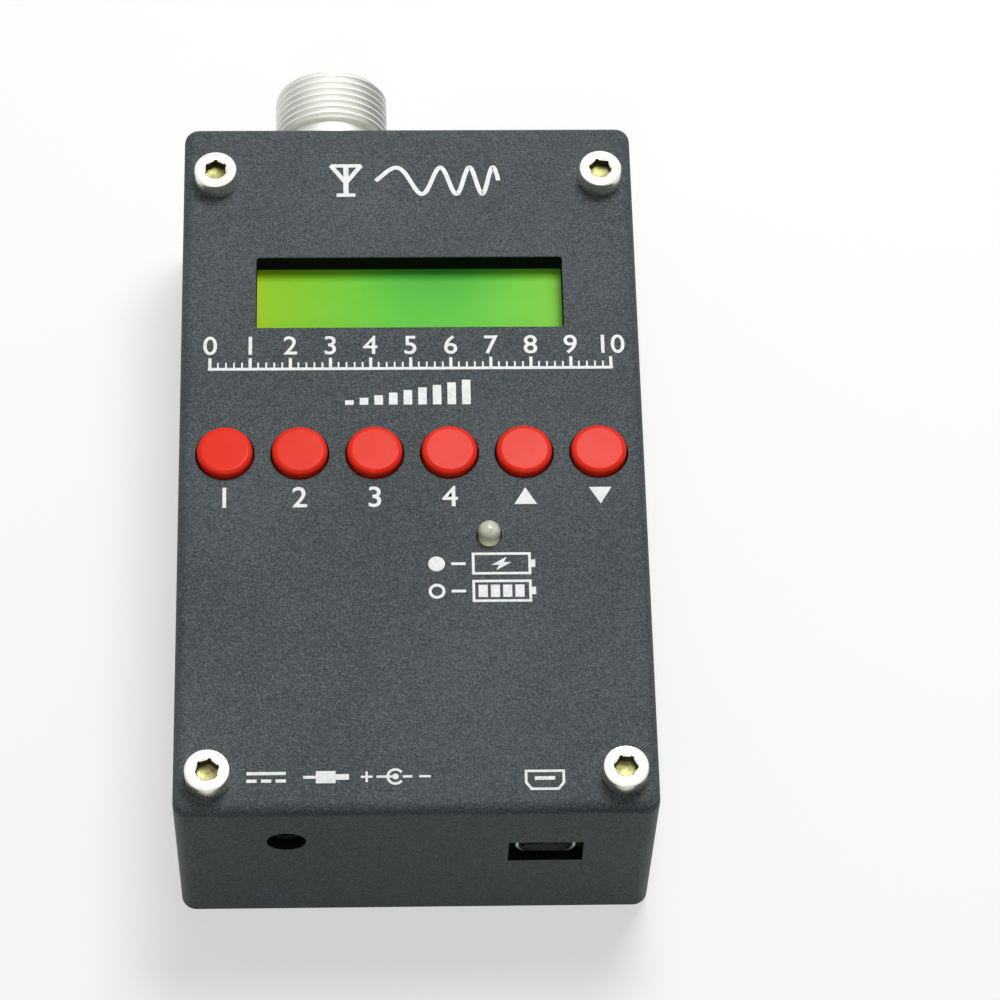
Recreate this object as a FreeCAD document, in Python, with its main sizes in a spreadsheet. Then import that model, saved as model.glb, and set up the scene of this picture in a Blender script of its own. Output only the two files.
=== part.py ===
import FreeCAD, Part
import math
import os
import re
import Sketcher

# A hand-held antenna analyzer. Origin at the middle of its underside, +Z up
# out of the button face, +Y towards the antenna socket, millimetres.

SIZES = {
    # Case: a five-sided shell over a plate that sits inside its rim
    "case_length": 104.8,
    "case_width": 62.0,
    "case_height": 30.6,
    "wall": 1.5,
    "face_thickness": 2.0,
    "corner_radius": 2.0,
    "edge_radius": 1.5,
    "inner_corner_radius": 0.8,
    "base_thickness": 1.5,
    "base_clearance": 0.15,
    # Case screws, M3 socket heads, and the posts that they pass through
    "screw_side_inset": 4.5,
    "near_screw_inset": 4.65,
    "far_screw_inset": 9.1,
    "screw_radius": 1.5,
    "screw_length": 25.0,
    "screw_head_radius": 2.9,
    "screw_head_height": 3.0,
    "screw_head_chamfer": 0.3,
    "hex_key_flats": 2.7,
    "hex_key_depth": 1.6,
    "screw_clearance": 0.15,
    "post_radius": 2.7,
    "clinch_radius": 2.1,
    # Main board
    "board_thickness": 1.6,
    "board_clearance": 0.4,
    # Display
    "window_width": 41.8,
    "window_height": 11.3,
    "window_y": 25.05,
    "glass_depth": 3.3,
    "glass_thickness": 2.2,
    "glass_width": 47.0,
    "glass_height": 17.0,
    "bezel_sheet": 0.4,
    "bezel_gap": 0.2,
    "bezel_margin": 0.1,
    "backlight_thickness": 3.0,
    "lcd_board_thickness": 1.6,
    "lcd_side_clearance": 1.5,
    "lcd_board_height": 26.0,
    "lcd_support_height": 4.9,
    "lcd_support_radius": 2.0,
    "lcd_support_inset": 2.8,
    "pin_count": 16,
    "pin_pitch": 2.54,
    "pin_width": 0.64,
    "pin_clearance": 0.04,
    "header_width": 2.5,
    "header_height": 2.54,
    "header_inset": 2.4,
    # Six push buttons
    "button_pitch": 9.94,
    "button_y": -0.25,
    "cap_radius": 3.7,
    "cap_rise": 1.2,
    "cap_round": 0.7,
    "cap_gap": 0.25,
    "cap_below_face": 1.0,
    "cap_roof": 1.4,
    "cap_fit": 0.02,
    "stem_radius": 1.75,
    "stem_foot_radius": 2.2,
    "stem_clearance": 0.08,
    "stem_foot_gap": 0.05,
    "button_travel": 0.25,
    "switch_width": 6.0,
    "switch_height": 3.5,
    "switch_floor": 0.5,
    "switch_cover": 0.5,
    "dome_radius": 2.15,
    "dome_rise": 0.75,
    "dome_sheet": 0.12,
    # Charging lamp
    "lamp_x": 10.0,
    "lamp_y": -12.75,
    "lamp_radius": 1.5,
    "lamp_rise": 2.5,
    "lamp_length": 5.6,
    "lamp_flange_radius": 1.9,
    "lamp_flange": 1.0,
    "lamp_clearance": 0.2,
    "lead_width": 0.5,
    "lead_spacing": 1.27,
    # Power jack for a 3.5 mm barrel
    "jack_x": -16.7,
    "jack_rise": 5.9,
    "jack_hole_radius": 2.55,
    "jack_bore_radius": 1.85,
    "jack_bore_depth": 8.5,
    "jack_pin_radius": 0.65,
    "jack_pin_recess": 0.8,
    "jack_tang_width": 0.9,
    "jack_width": 8.0,
    "jack_length": 11.0,
    "jack_above_axis": 3.6,
    "jack_contact_width": 1.6,
    "jack_contact_sheet": 0.3,
    "jack_contact_fit": 0.05,
    "wall_gap": 0.1,
    # Five-way data socket
    "data_x": 16.75,
    "data_slot_width": 9.7,
    "data_slot_height": 5.6,
    "data_slot_rise": 2.05,
    "data_width": 7.7,
    "data_foot_width": 6.4,
    "data_height": 3.95,
    "data_waist": 1.5,
    "data_insert_fit": 0.02,
    "data_sheet": 0.35,
    "data_length": 9.6,
    "data_recess": 1.0,
    "data_back": 1.6,
    "tongue_width": 5.2,
    "tongue_thickness": 1.0,
    "tongue_recess": 1.2,
    # Antenna socket, 5/8 inch thread of 24 turns to the inch
    "rf_x": -10.7,
    "flange_width": 19.4,
    "flange_thickness": 1.6,
    "flange_corner": 1.5,
    "neck_radius": 6.85,
    "thread_start": 5.5,
    "thread_radius": 7.94,
    "thread_pitch": 1.058,
    "thread_depth": 0.5,
    "socket_length": 13.4,
    "mouth_radius": 6.05,
    "mouth_depth": 4.6,
    "mouth_chamfer": 0.4,
    "rim_notch_width": 1.2,
    "rim_notch_depth": 1.0,
    "insulator_radius": 4.6,
    "insulator_head": 1.5,
    "insulator_fit": 0.03,
    "barrel_radius": 5.5,
    "barrel_length": 4.0,
    "barrel_clearance": 0.2,
    "contact_radius": 2.8,
    "contact_bore_radius": 2.0,
    "contact_bore_depth": 12.0,
    "contact_rise": 0.2,
    "contact_slot": 0.4,
    "contact_slot_depth": 7.0,
    "tail_radius": 1.6,
    "tail_length": 6.0,
    "solder_gap": 0.1,
    "flange_screw_offset": 7.4,
    "flange_screw_radius": 1.0,
    "flange_screw_head": 1.9,
    "flange_screw_head_height": 1.0,
    "flange_screw_length": 6.0,
    "flange_screw_clearance": 0.1,
    "nut_flats": 4.0,
    "nut_height": 1.6,
    # Power slide switch on the antenna end
    "power_x": 12.0,
    "power_width": 8.6,
    "power_depth": 4.2,
    "power_height": 4.6,
    "power_wall": 0.6,
    "power_cover": 0.4,
    "power_travel": 2.0,
    "lever_width": 2.0,
    "lever_height": 1.8,
    "lever_reach": 1.8,
    "lever_clearance": 0.3,
    "lever_round": 0.3,
    "carriage_width": 4.0,
    "carriage_depth": 2.2,
    "carriage_clearance": 0.1,
    # Battery, its pad, plug, socket and leads
    "battery_width": 34.0,
    "battery_length": 66.0,
    "battery_headroom": 1.5,
    "battery_y": -5.0,
    "battery_round": 2.0,
    "pad_thickness": 1.0,
    "pad_margin": 3.0,
    "plug_x": 8.0,
    "plug_width": 6.0,
    "plug_length": 7.0,
    "plug_height": 3.4,
    "plug_fit": 0.1,
    "plug_out": 3.0,
    "plug_y": 38.0,
    "socket_wall": 0.8,
    "wire_radius": 0.7,
    "wire_pitch": 2.0,
    # Chips and passives on the board
    "processor_width": 10.0,
    "processor_height": 1.4,
    "processor_y": -28.0,
    "synthesizer_length": 10.2,
    "synthesizer_width": 5.3,
    "synthesizer_height": 1.75,
    "synthesizer_x": 19.0,
    "synthesizer_y": -28.0,
    "crystal_length": 11.0,
    "crystal_width": 4.6,
    "crystal_height": 3.5,
    "crystal_y": -18.0,
    "charger_length": 5.0,
    "charger_width": 4.0,
    "charger_height": 1.5,
    "charger_x": -18.0,
    "charger_y": -31.0,
    "inductor_width": 7.0,
    "inductor_height": 3.2,
    "inductor_x": -5.0,
    "inductor_y": -42.0,
    "capacitor_radius": 3.15,
    "capacitor_height": 5.4,
    "capacitor_x": 6.5,
    "capacitor_pitch": 8.0,
    "capacitor_y": -46.0,
    "chip_chamfer": 0.25,
}

# Places worked out from the sizes
PLACES = {
    "face_under": "case_height - face_thickness",
    "near_end": "-case_length / 2",
    "far_end": "case_length / 2",
    "screw_x": "case_width / 2 - screw_side_inset",
    "near_screw_y": "near_end + near_screw_inset",
    "far_screw_y": "far_end - far_screw_inset",
    "screw_hole": "screw_radius + screw_clearance",
    "glass_top": "case_height - glass_depth",
    "glass_under": "glass_top - glass_thickness",
    "lcd_board_top": "glass_under - backlight_thickness",
    "lcd_board_width": "case_width - 2 * wall - 2 * lcd_side_clearance",
    "lcd_board_under": "lcd_board_top - lcd_board_thickness",
    "board_top": "lcd_board_under - lcd_support_height",
    "board_under": "board_top - board_thickness",
    "rf_z": "board_top + solder_gap + tail_radius",
    "jack_z": "board_top + jack_rise",
    "data_slot_z": "board_top + data_slot_rise",
    "header_y": "window_y + lcd_board_height / 2 - header_inset",
    "bezel_width": "glass_width + 2 * bezel_gap + 2 * bezel_sheet",
    "bezel_height": "glass_height + 2 * bezel_gap + 2 * bezel_sheet",
    "cap_top": "case_height + cap_rise",
    "cap_bottom": "face_under - cap_below_face",
    "stem_top": "cap_top - cap_roof",
    "cover_under": "switch_height - switch_cover",
    "dome_crown": "switch_floor + dome_rise + dome_sheet",
    "foot_top": "cover_under - stem_foot_gap",
    "foot_bottom": "dome_crown + button_travel + stem_foot_gap",
    "lamp_top": "case_height + lamp_rise",
    "lamp_bottom": "lamp_top - lamp_length",
    "inner_near": "near_end + wall + wall_gap",
    "inner_far": "far_end - wall - wall_gap",
    "mouth_floor": "socket_length - mouth_depth",
    "shell_seat": "mouth_floor - insulator_head",
    "contact_top": "mouth_floor + contact_rise",
    "power_z": "board_top + power_height / 2",
    "power_front": "inner_far",
    "lever_tip": "far_end + lever_reach",
    "rest_shift": "-power_travel / 2",
    "battery_under": "base_thickness + pad_thickness",
    "battery_thickness": "board_under - battery_headroom - battery_under",
    "battery_end": "battery_y + battery_length / 2",
    "plug_z": "board_under - socket_wall - plug_fit - plug_height / 2",
}

# Shapes given as shares of a piece's own size
DOME_KNEE = ("dome_radius * 0.45", "dome_rise * 0.85")
DOME_SHOULDER = ("dome_radius * 0.8", "dome_rise * 0.4")
FULL_ROUND = "98 / 100"
VEE_HALF_WIDTH = "9 / 20"
VEE_OVERSHOOT = "1 / 10"
RIM_NOTCHES = 4

doc = FreeCAD.newDocument("AntennaAnalyzer")
sheet = doc.addObject("Spreadsheet::Sheet", "Sizes")
for row, (size_name, size_value) in enumerate(SIZES.items(), start=1):
    sheet.set("A%d" % row, size_name)
    sheet.set("B%d" % row, str(size_value))
    sheet.setAlias("B%d" % row, size_name)
doc.recompute()

PARTS = []


def bound(text):
    """Turn the words of a size formula into references to the sheet."""

    def reference(match):
        word = match.group(0)
        if word in SIZES:
            return "Sizes." + word
        if word in PLACES:
            return "(" + bound(PLACES[word]) + ")"
        return word

    return re.sub(r"\b[a-z][a-z_]*\b", reference, text)


def bind(item, prop, text):
    """Tie one property of an object to a formula of the sheet's sizes."""
    item.setExpression(prop, bound(text))


def place(item, x="0", y="0", z="0"):
    """Tie an object's position to three formulas."""
    for axis, text in zip("xyz", (x, y, z)):
        bind(item, ".Placement.Base." + axis, text)


def keep(item, label):
    """Name an object as one of the finished pieces."""
    item.Label = label
    PARTS.append(item)
    return item


def new_body(label):
    """Start a piece that is built from sketches."""
    return keep(doc.addObject("PartDesign::Body", label), label)


def new_sketch(body, plane_role="XY_Plane", lift="0"):
    """Start a sketch on one of the body's own origin planes, lifted along its normal."""
    made = body.newObject("Sketcher::SketchObject", body.Name + "_sketch")
    plane = next(f for f in body.Origin.OriginFeatures if f.Role == plane_role)
    made.AttachmentSupport = (plane, [""])
    made.MapMode = "FlatFace"
    bind(made, ".AttachmentOffset.Base.z", lift)
    return made


def fix_point(made, geometry, corner, x, y, name):
    """Hold a point of a sketch at two formulas, measured from the sketch's origin."""
    for kind, text, letter in (("DistanceX", x, "x"), ("DistanceY", y, "y")):
        index = made.addConstraint(Sketcher.Constraint(kind, -1, 1, geometry, corner, 1.0))
        made.renameConstraint(index, name + letter)
        bind(made, "Constraints." + name + letter, text)


def draw_outline(made, points):
    """Draw a closed outline of straight lines through corners given as formulas."""
    count = len(points)
    start = made.GeometryCount
    ring = [2 * math.pi * i / count for i in range(count)]
    rough = [FreeCAD.Vector(math.cos(a), math.sin(a), 0) for a in ring]
    for i in range(count):
        made.addGeometry(Part.LineSegment(rough[i], rough[(i + 1) % count]))
    for i in range(count):
        after = start + (i + 1) % count
        made.addConstraint(Sketcher.Constraint("Coincident", start + i, 2, after, 1))
    for i, (x, y) in enumerate(points):
        fix_point(made, start + i, 1, x, y, "corner%d" % (start + i))


def draw_rectangle(made, width, height, x="0", y="0"):
    """Draw a rectangle about a middle point."""
    left = "%s - (%s) / 2" % (x, width)
    right = "%s + (%s) / 2" % (x, width)
    low = "%s - (%s) / 2" % (y, height)
    high = "%s + (%s) / 2" % (y, height)
    draw_outline(made, [(left, low), (right, low), (right, high), (left, high)])


def draw_circle(made, radius, x="0", y="0"):
    """Draw a circle about a middle point."""
    geometry = made.addGeometry(Part.Circle(FreeCAD.Vector(0, 0, 0), FreeCAD.Vector(0, 0, 1), 1.0))
    index = made.addConstraint(Sketcher.Constraint("Radius", geometry, 1.0))
    made.renameConstraint(index, "radius%d" % geometry)
    bind(made, "Constraints.radius%d" % geometry, radius)
    fix_point(made, geometry, 3, x, y, "middle%d" % geometry)


def draw_hexagon(made, flats):
    """Draw a hexagon of a width across flats, one flat facing +Y."""
    reach = "(%s) / sqrt(3)" % flats
    half = "(%s) / 2" % flats
    corners = [(reach, "0"), (reach + " / 2", half), ("-1 * " + reach + " / 2", half)]
    corners += [("-1 * " + reach, "0"), ("-1 * " + reach + " / 2", "-1 * " + half)]
    corners += [(reach + " / 2", "-1 * " + half)]
    draw_outline(made, corners)


def pad(body, made, length, reverse=False):
    """Add material from a sketch along its normal."""
    feature = body.newObject("PartDesign::Pad", body.Name + "_pad")
    feature.Profile = made
    bind(feature, "Length", length)
    feature.Reversed = reverse
    return feature


def cut(body, made, depth, reverse=False):
    """Cut from a sketch against its normal, and make sure that it removed something."""
    doc.recompute()
    before = body.Shape.Volume
    feature = body.newObject("PartDesign::Pocket", body.Name + "_pocket")
    feature.Profile = made
    bind(feature, "Length", depth)
    feature.Reversed = reverse
    doc.recompute()
    if body.Shape.Volume > before - 1e-6:
        raise RuntimeError("a cut in " + body.Label + " removes nothing")
    return feature


def turn(body, points, kind="PartDesign::Revolution"):
    """Turn an outline of (radius, height) corners about the body's Z axis."""
    made = new_sketch(body, "XZ_Plane")
    draw_outline(made, points)
    feature = body.newObject(kind, body.Name + "_turned")
    feature.Profile = made
    feature.ReferenceAxis = (made, ["V_Axis"])
    feature.Angle = 360.0
    return feature


def repeat_round(body, feature, count):
    """Repeat a feature evenly round the body's Z axis."""
    pattern = body.newObject("PartDesign::PolarPattern", body.Name + "_ring")
    pattern.Originals = [feature]
    axis = next(f for f in body.Origin.OriginFeatures if f.Role == "Z_Axis")
    pattern.Axis = (axis, [""])
    pattern.Angle = 360.0
    pattern.Occurrences = count
    body.Tip = pattern
    return pattern


def edge_names(shape, wanted):
    """List the names of the edges that pass a test."""
    return ["Edge%d" % (i + 1) for i, edge in enumerate(shape.Edges) if wanted(edge)]


def upright(edge):
    """Say whether an edge stands straight up."""
    ends = [vertex.Point for vertex in edge.Vertexes]
    return len(ends) == 2 and (ends[0] - ends[1]).cross(FreeCAD.Vector(0, 0, 1)).Length < 1e-6


def at_height(edge, height):
    """Say whether an edge lies flat at one height."""
    box = edge.BoundBox
    return abs(box.ZMin - height) < 1e-6 and abs(box.ZMax - height) < 1e-6


def round_edges(body, wanted, radius, kind="PartDesign::Fillet"):
    """Round, or chamfer, the edges of a body that pass a test."""
    doc.recompute()
    base = body.Tip
    names = edge_names(base.Shape, wanted)
    if not names:
        raise RuntimeError("no edge to round in " + body.Label)
    feature = body.newObject(kind, body.Name + "_edges")
    feature.Base = (base, names)
    bind(feature, "Radius" if kind.endswith("Fillet") else "Size", radius)
    return feature


def block(label, width, length, height, x="0", y="0", z="0"):
    """Make a plain block, centred in X and Y, standing on a height."""
    made = doc.addObject("Part::Box", label)
    bind(made, "Length", width)
    bind(made, "Width", length)
    bind(made, "Height", height)
    place(made, "%s - (%s) / 2" % (x, width), "%s - (%s) / 2" % (y, length), z)
    return made


def rod(label, radius, length, x="0", y="0", z="0"):
    """Make a plain upright rod, standing on a height."""
    made = doc.addObject("Part::Cylinder", label)
    bind(made, "Radius", radius)
    bind(made, "Height", length)
    place(made, x, y, z)
    return made


def lay_along_y(item):
    """Turn an upright object so that its Z axis points along +Y."""
    item.Placement = FreeCAD.Placement(
        item.Placement.Base, FreeCAD.Rotation(FreeCAD.Vector(1, 0, 0), -90)
    )
    return item


def group(label, master, places):
    """Set copies of one piece at several places, as one named node of separate solids."""
    PARTS.remove(master)
    master.Label = label + "_pattern_piece"
    copies = []
    for x, y, z in places:
        copy = doc.addObject("App::Link", label + "_copy")
        copy.LinkedObject = master
        copy.LinkTransform = False
        copy.Placement.Rotation = master.Placement.Rotation
        place(copy, x, y, z)
        copies.append(copy)
    made = doc.addObject("Part::Compound", label)
    made.Links = copies
    return keep(made, label)


CORNERS = [("-1 * screw_x", "near_screw_y"), ("screw_x", "near_screw_y")]
CORNERS += [("-1 * screw_x", "far_screw_y"), ("screw_x", "far_screw_y")]
SIDES = ("-1 * ", "1 * ")
FLANGE_SCREWS = [
    (a + "flange_screw_offset", b + "flange_screw_offset") for a in SIDES for b in SIDES
]
BUTTONS = ["(%s) * button_pitch" % (i - 2.5) for i in range(6)]


def make_top_shell():
    """Face and four walls, with every opening that the case has."""
    body = new_body("top_shell")
    made = new_sketch(body)
    draw_rectangle(made, "case_width", "case_length")
    pad(body, made, "case_height")
    round_edges(body, upright, "corner_radius")
    round_edges(body, lambda e: at_height(e, SIZES["case_height"]), "edge_radius")
    made = new_sketch(body)
    draw_rectangle(made, "case_width - 2 * wall", "case_length - 2 * wall")
    cut(body, made, "face_under", reverse=True)
    inside = SIZES["case_width"] / 2 - SIZES["wall"] + 0.01
    round_edges(
        body,
        lambda e: upright(e) and abs(e.Vertexes[0].X) < inside,
        "inner_corner_radius",
    )
    made = new_sketch(body, lift="case_height")
    draw_rectangle(made, "window_width", "window_height", "0", "window_y")
    for x in BUTTONS:
        draw_circle(made, "cap_radius + cap_gap", x, "button_y")
    draw_circle(made, "lamp_radius + lamp_clearance", "lamp_x", "lamp_y")
    for x, y in CORNERS:
        draw_circle(made, "screw_hole", x, y)
    cut(body, made, "face_thickness")
    # Near end: round hole of the power jack and slot of the data socket
    made = new_sketch(body, "XZ_Plane", "case_length / 2")
    draw_circle(made, "jack_hole_radius", "jack_x", "jack_z")
    draw_rectangle(made, "data_slot_width", "data_slot_height", "data_x", "data_slot_z")
    cut(body, made, "wall")
    # Far end: barrel and screws of the antenna socket, slot of the power switch
    made = new_sketch(body, "XZ_Plane", "-case_length / 2")
    draw_circle(made, "barrel_radius + barrel_clearance", "rf_x", "rf_z")
    for x, z in FLANGE_SCREWS:
        draw_circle(
            made, "flange_screw_radius + flange_screw_clearance", "rf_x + " + x, "rf_z + " + z
        )
    slot_width = "lever_width + power_travel + 2 * lever_clearance"
    draw_rectangle(made, slot_width, "lever_height + 2 * lever_clearance", "power_x", "power_z")
    cut(body, made, "wall", reverse=True)
    return body


def make_base_plate():
    """Plate inside the rim of the shell, with holes for the clinched posts."""
    body = new_body("base_plate")
    made = new_sketch(body)
    width = "case_width - 2 * wall - 2 * base_clearance"
    length = "case_length - 2 * wall - 2 * base_clearance"
    draw_rectangle(made, width, length)
    for x, y in CORNERS:
        draw_circle(made, "clinch_radius", x, y)
    pad(body, made, "base_thickness")
    side = SIZES["case_width"] / 2 - SIZES["wall"] - SIZES["base_clearance"] - 0.01
    round_edges(body, lambda e: upright(e) and abs(e.Vertexes[0].X) > side, "inner_corner_radius")
    return body


def make_case_screws():
    """Four socket head screws that clamp the face, the board and the base together."""
    body = new_body("case_screw")
    turn(
        body,
        [
            ("0", "-screw_length"),
            ("screw_radius", "-screw_length"),
            ("screw_radius", "0"),
            ("screw_head_radius", "0"),
            ("screw_head_radius", "screw_head_height - screw_head_chamfer"),
            ("screw_head_radius - screw_head_chamfer", "screw_head_height"),
            ("0", "screw_head_height"),
        ],
    )
    made = new_sketch(body, lift="screw_head_height")
    draw_hexagon(made, "hex_key_flats")
    cut(body, made, "hex_key_depth")
    return group("case_screws", body, [(x, y, "case_height") for x, y in CORNERS])


def make_posts():
    """Spacers above the board and threaded posts clinched into the base below it."""
    upper = new_body("upper_spacer")
    made = new_sketch(upper)
    draw_circle(made, "post_radius")
    draw_circle(made, "screw_hole")
    pad(upper, made, "face_under - board_top")
    group("upper_spacers", upper, [(x, y, "board_top") for x, y in CORNERS])
    lower = new_body("lower_post")
    inner = "screw_hole"
    turn(
        lower,
        [
            (inner, "0"),
            ("clinch_radius", "0"),
            ("clinch_radius", "base_thickness"),
            ("post_radius", "base_thickness"),
            ("post_radius", "board_under"),
            (inner, "board_under"),
        ],
    )
    return group("lower_posts", lower, [(x, y, "0") for x, y in CORNERS])


def make_main_board():
    """Circuit board with a notch for the barrel of the antenna socket."""
    body = new_body("main_board")
    made = new_sketch(body, lift="board_under")
    side = "case_width / 2 - wall - board_clearance"
    near = "near_end + wall + board_clearance"
    far = "far_end - wall - board_clearance"
    left = "rf_x - barrel_radius - board_clearance"
    right = "rf_x + barrel_radius + board_clearance"
    notch = "far_end - wall - barrel_length - board_clearance"
    outline = [("-1 * (%s)" % side, near), (side, near), (side, far), (right, far)]
    outline += [(right, notch), (left, notch), (left, far), ("-1 * (%s)" % side, far)]
    draw_outline(made, outline)
    for x, y in CORNERS:
        draw_circle(made, "screw_hole", x, y)
    pad(body, made, "board_thickness")
    return body


def make_display():
    """Display module: board, backlight, glass, folded bezel, header and supports."""
    y = "window_y"
    keep(
        block("lcd_board", "lcd_board_width", "lcd_board_height", "lcd_board_thickness",
              y=y, z="lcd_board_under"),
        "lcd_board",
    )
    keep(
        block("lcd_backlight", "glass_width", "glass_height", "backlight_thickness",
              y=y, z="lcd_board_top"),
        "lcd_backlight",
    )
    keep(
        block("lcd_glass", "glass_width", "glass_height", "glass_thickness",
              y=y, z="glass_under"),
        "lcd_glass",
    )
    bezel = new_body("lcd_bezel")
    made = new_sketch(bezel, lift="lcd_board_top")
    draw_rectangle(made, "bezel_width", "bezel_height", y=y)
    pad(bezel, made, "glass_top - lcd_board_top + bezel_sheet")
    made = new_sketch(bezel, lift="lcd_board_top")
    inner_width = "glass_width + 2 * bezel_gap"
    inner_height = "glass_height + 2 * bezel_gap"
    draw_rectangle(made, inner_width, inner_height, y=y)
    cut(bezel, made, "glass_top - lcd_board_top", reverse=True)
    made = new_sketch(bezel, lift="glass_top")
    open_width = "window_width + 2 * bezel_margin"
    open_height = "window_height + 2 * bezel_margin"
    draw_rectangle(made, open_width, open_height, y=y)
    cut(bezel, made, "bezel_sheet", reverse=True)
    support = keep(rod("lcd_support", "lcd_support_radius", "lcd_support_height"), "lcd_support")
    reach_x = "(lcd_board_width / 2 - lcd_support_inset)"
    reach_y = "(lcd_board_height / 2 - lcd_support_inset)"
    spots = [
        ("%s * %s" % (a, reach_x), "window_y + %s * %s" % (b, reach_y), "board_top")
        for a in ("-1", "1")
        for b in ("-1", "1")
    ]
    group("lcd_supports", support, spots)
    make_display_header()


def make_display_header():
    """Row of square pins in a strip, joining the display board to the main board."""
    strip = new_body("lcd_header")
    made = new_sketch(strip, lift="board_top")
    draw_rectangle(made, "pin_count * pin_pitch", "header_width", y="header_y")
    pad(strip, made, "header_height")
    made = new_sketch(strip, lift="board_top")
    hole = "pin_width + 2 * pin_clearance"
    first = "pin_pitch * (1 - pin_count) / 2"
    draw_rectangle(made, hole, hole, first, "header_y")
    pocket = cut(strip, made, "header_height", reverse=True)
    row = strip.newObject("PartDesign::LinearPattern", "lcd_header_row")
    row.Originals = [pocket]
    row.Direction = (next(f for f in strip.Origin.OriginFeatures if f.Role == "X_Axis"), [""])
    bind(row, "Length", "pin_pitch * (pin_count - 1)")
    row.Occurrences = int(SIZES["pin_count"])
    strip.Tip = row
    pin = keep(block("lcd_pin", "pin_width", "pin_width", "lcd_support_height"), "lcd_pin")
    spots = [
        ("pin_pitch * (%d + (1 - pin_count) / 2) - pin_width / 2" % i,
         "header_y - pin_width / 2", "board_top")
        for i in range(int(SIZES["pin_count"]))
    ]
    group("lcd_pins", pin, spots)


def make_button(number, x):
    """One push button: red cap, long stem and the switch body that guides it."""
    cap = new_body("button_cap_%d" % number)
    turn(
        cap,
        [
            ("stem_radius + cap_fit", "cap_bottom"),
            ("cap_radius", "cap_bottom"),
            ("cap_radius", "cap_top"),
            ("0", "cap_top"),
            ("0", "stem_top"),
            ("stem_radius + cap_fit", "stem_top"),
        ],
    )
    top = SIZES["case_height"] + SIZES["cap_rise"]
    round_edges(cap, lambda e: at_height(e, top), "cap_round")
    place(cap, x, "button_y")
    stem = new_body("button_stem_%d" % number)
    turn(
        stem,
        [
            ("0", "board_top + foot_bottom"),
            ("stem_foot_radius", "board_top + foot_bottom"),
            ("stem_foot_radius", "board_top + foot_top"),
            ("stem_radius", "board_top + foot_top"),
            ("stem_radius", "stem_top"),
            ("0", "stem_top"),
        ],
    )
    place(stem, x, "button_y")
    switch = new_body("switch_body_%d" % number)
    made = new_sketch(switch, lift="board_top")
    draw_rectangle(made, "switch_width", "switch_width")
    pad(switch, made, "switch_height")
    floor = "board_top + switch_floor"
    roof = "board_top + cover_under"
    turn(
        switch,
        [
            ("0", floor),
            ("stem_foot_radius + stem_clearance", floor),
            ("stem_foot_radius + stem_clearance", roof),
            ("stem_radius + stem_clearance", roof),
            ("stem_radius + stem_clearance", "board_top + switch_height"),
            ("0", "board_top + switch_height"),
        ],
        "PartDesign::Groove",
    )
    place(switch, x, "button_y")


def make_snap_domes():
    """Six sprung steel domes, one on the floor of each switch."""
    dome = new_body("snap_dome")
    turn(
        dome,
        [
            ("0", "dome_rise"),
            DOME_KNEE,
            DOME_SHOULDER,
            ("dome_radius", "0"),
            ("dome_radius", "dome_sheet"),
            (DOME_SHOULDER[0], DOME_SHOULDER[1] + " + dome_sheet"),
            (DOME_KNEE[0], DOME_KNEE[1] + " + dome_sheet"),
            ("0", "dome_rise + dome_sheet"),
        ],
    )
    floor = "board_top + switch_floor"
    return group("snap_domes", dome, [(x, "button_y", floor) for x in BUTTONS])


def make_lamp():
    """Milky round-headed lamp, just proud of the face, on three leads."""
    lamp = new_body("status_lamp")
    turn(
        lamp,
        [
            ("0", "lamp_bottom"),
            ("lamp_flange_radius", "lamp_bottom"),
            ("lamp_flange_radius", "lamp_bottom + lamp_flange"),
            ("lamp_radius", "lamp_bottom + lamp_flange"),
            ("lamp_radius", "lamp_top"),
            ("0", "lamp_top"),
        ],
    )
    top = SIZES["case_height"] + SIZES["lamp_rise"]
    round_edges(lamp, lambda e: at_height(e, top), "lamp_radius * %s" % FULL_ROUND)
    place(lamp, "lamp_x", "lamp_y")
    lead = keep(block("lamp_lead", "lead_width", "lead_width", "lamp_bottom - board_top"), "lead")
    spots = [
        ("lamp_x + %d * lead_spacing - lead_width / 2" % i, "lamp_y - lead_width / 2", "board_top")
        for i in (-1, 0, 1)
    ]
    return group("lamp_leads", lead, spots)


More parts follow.
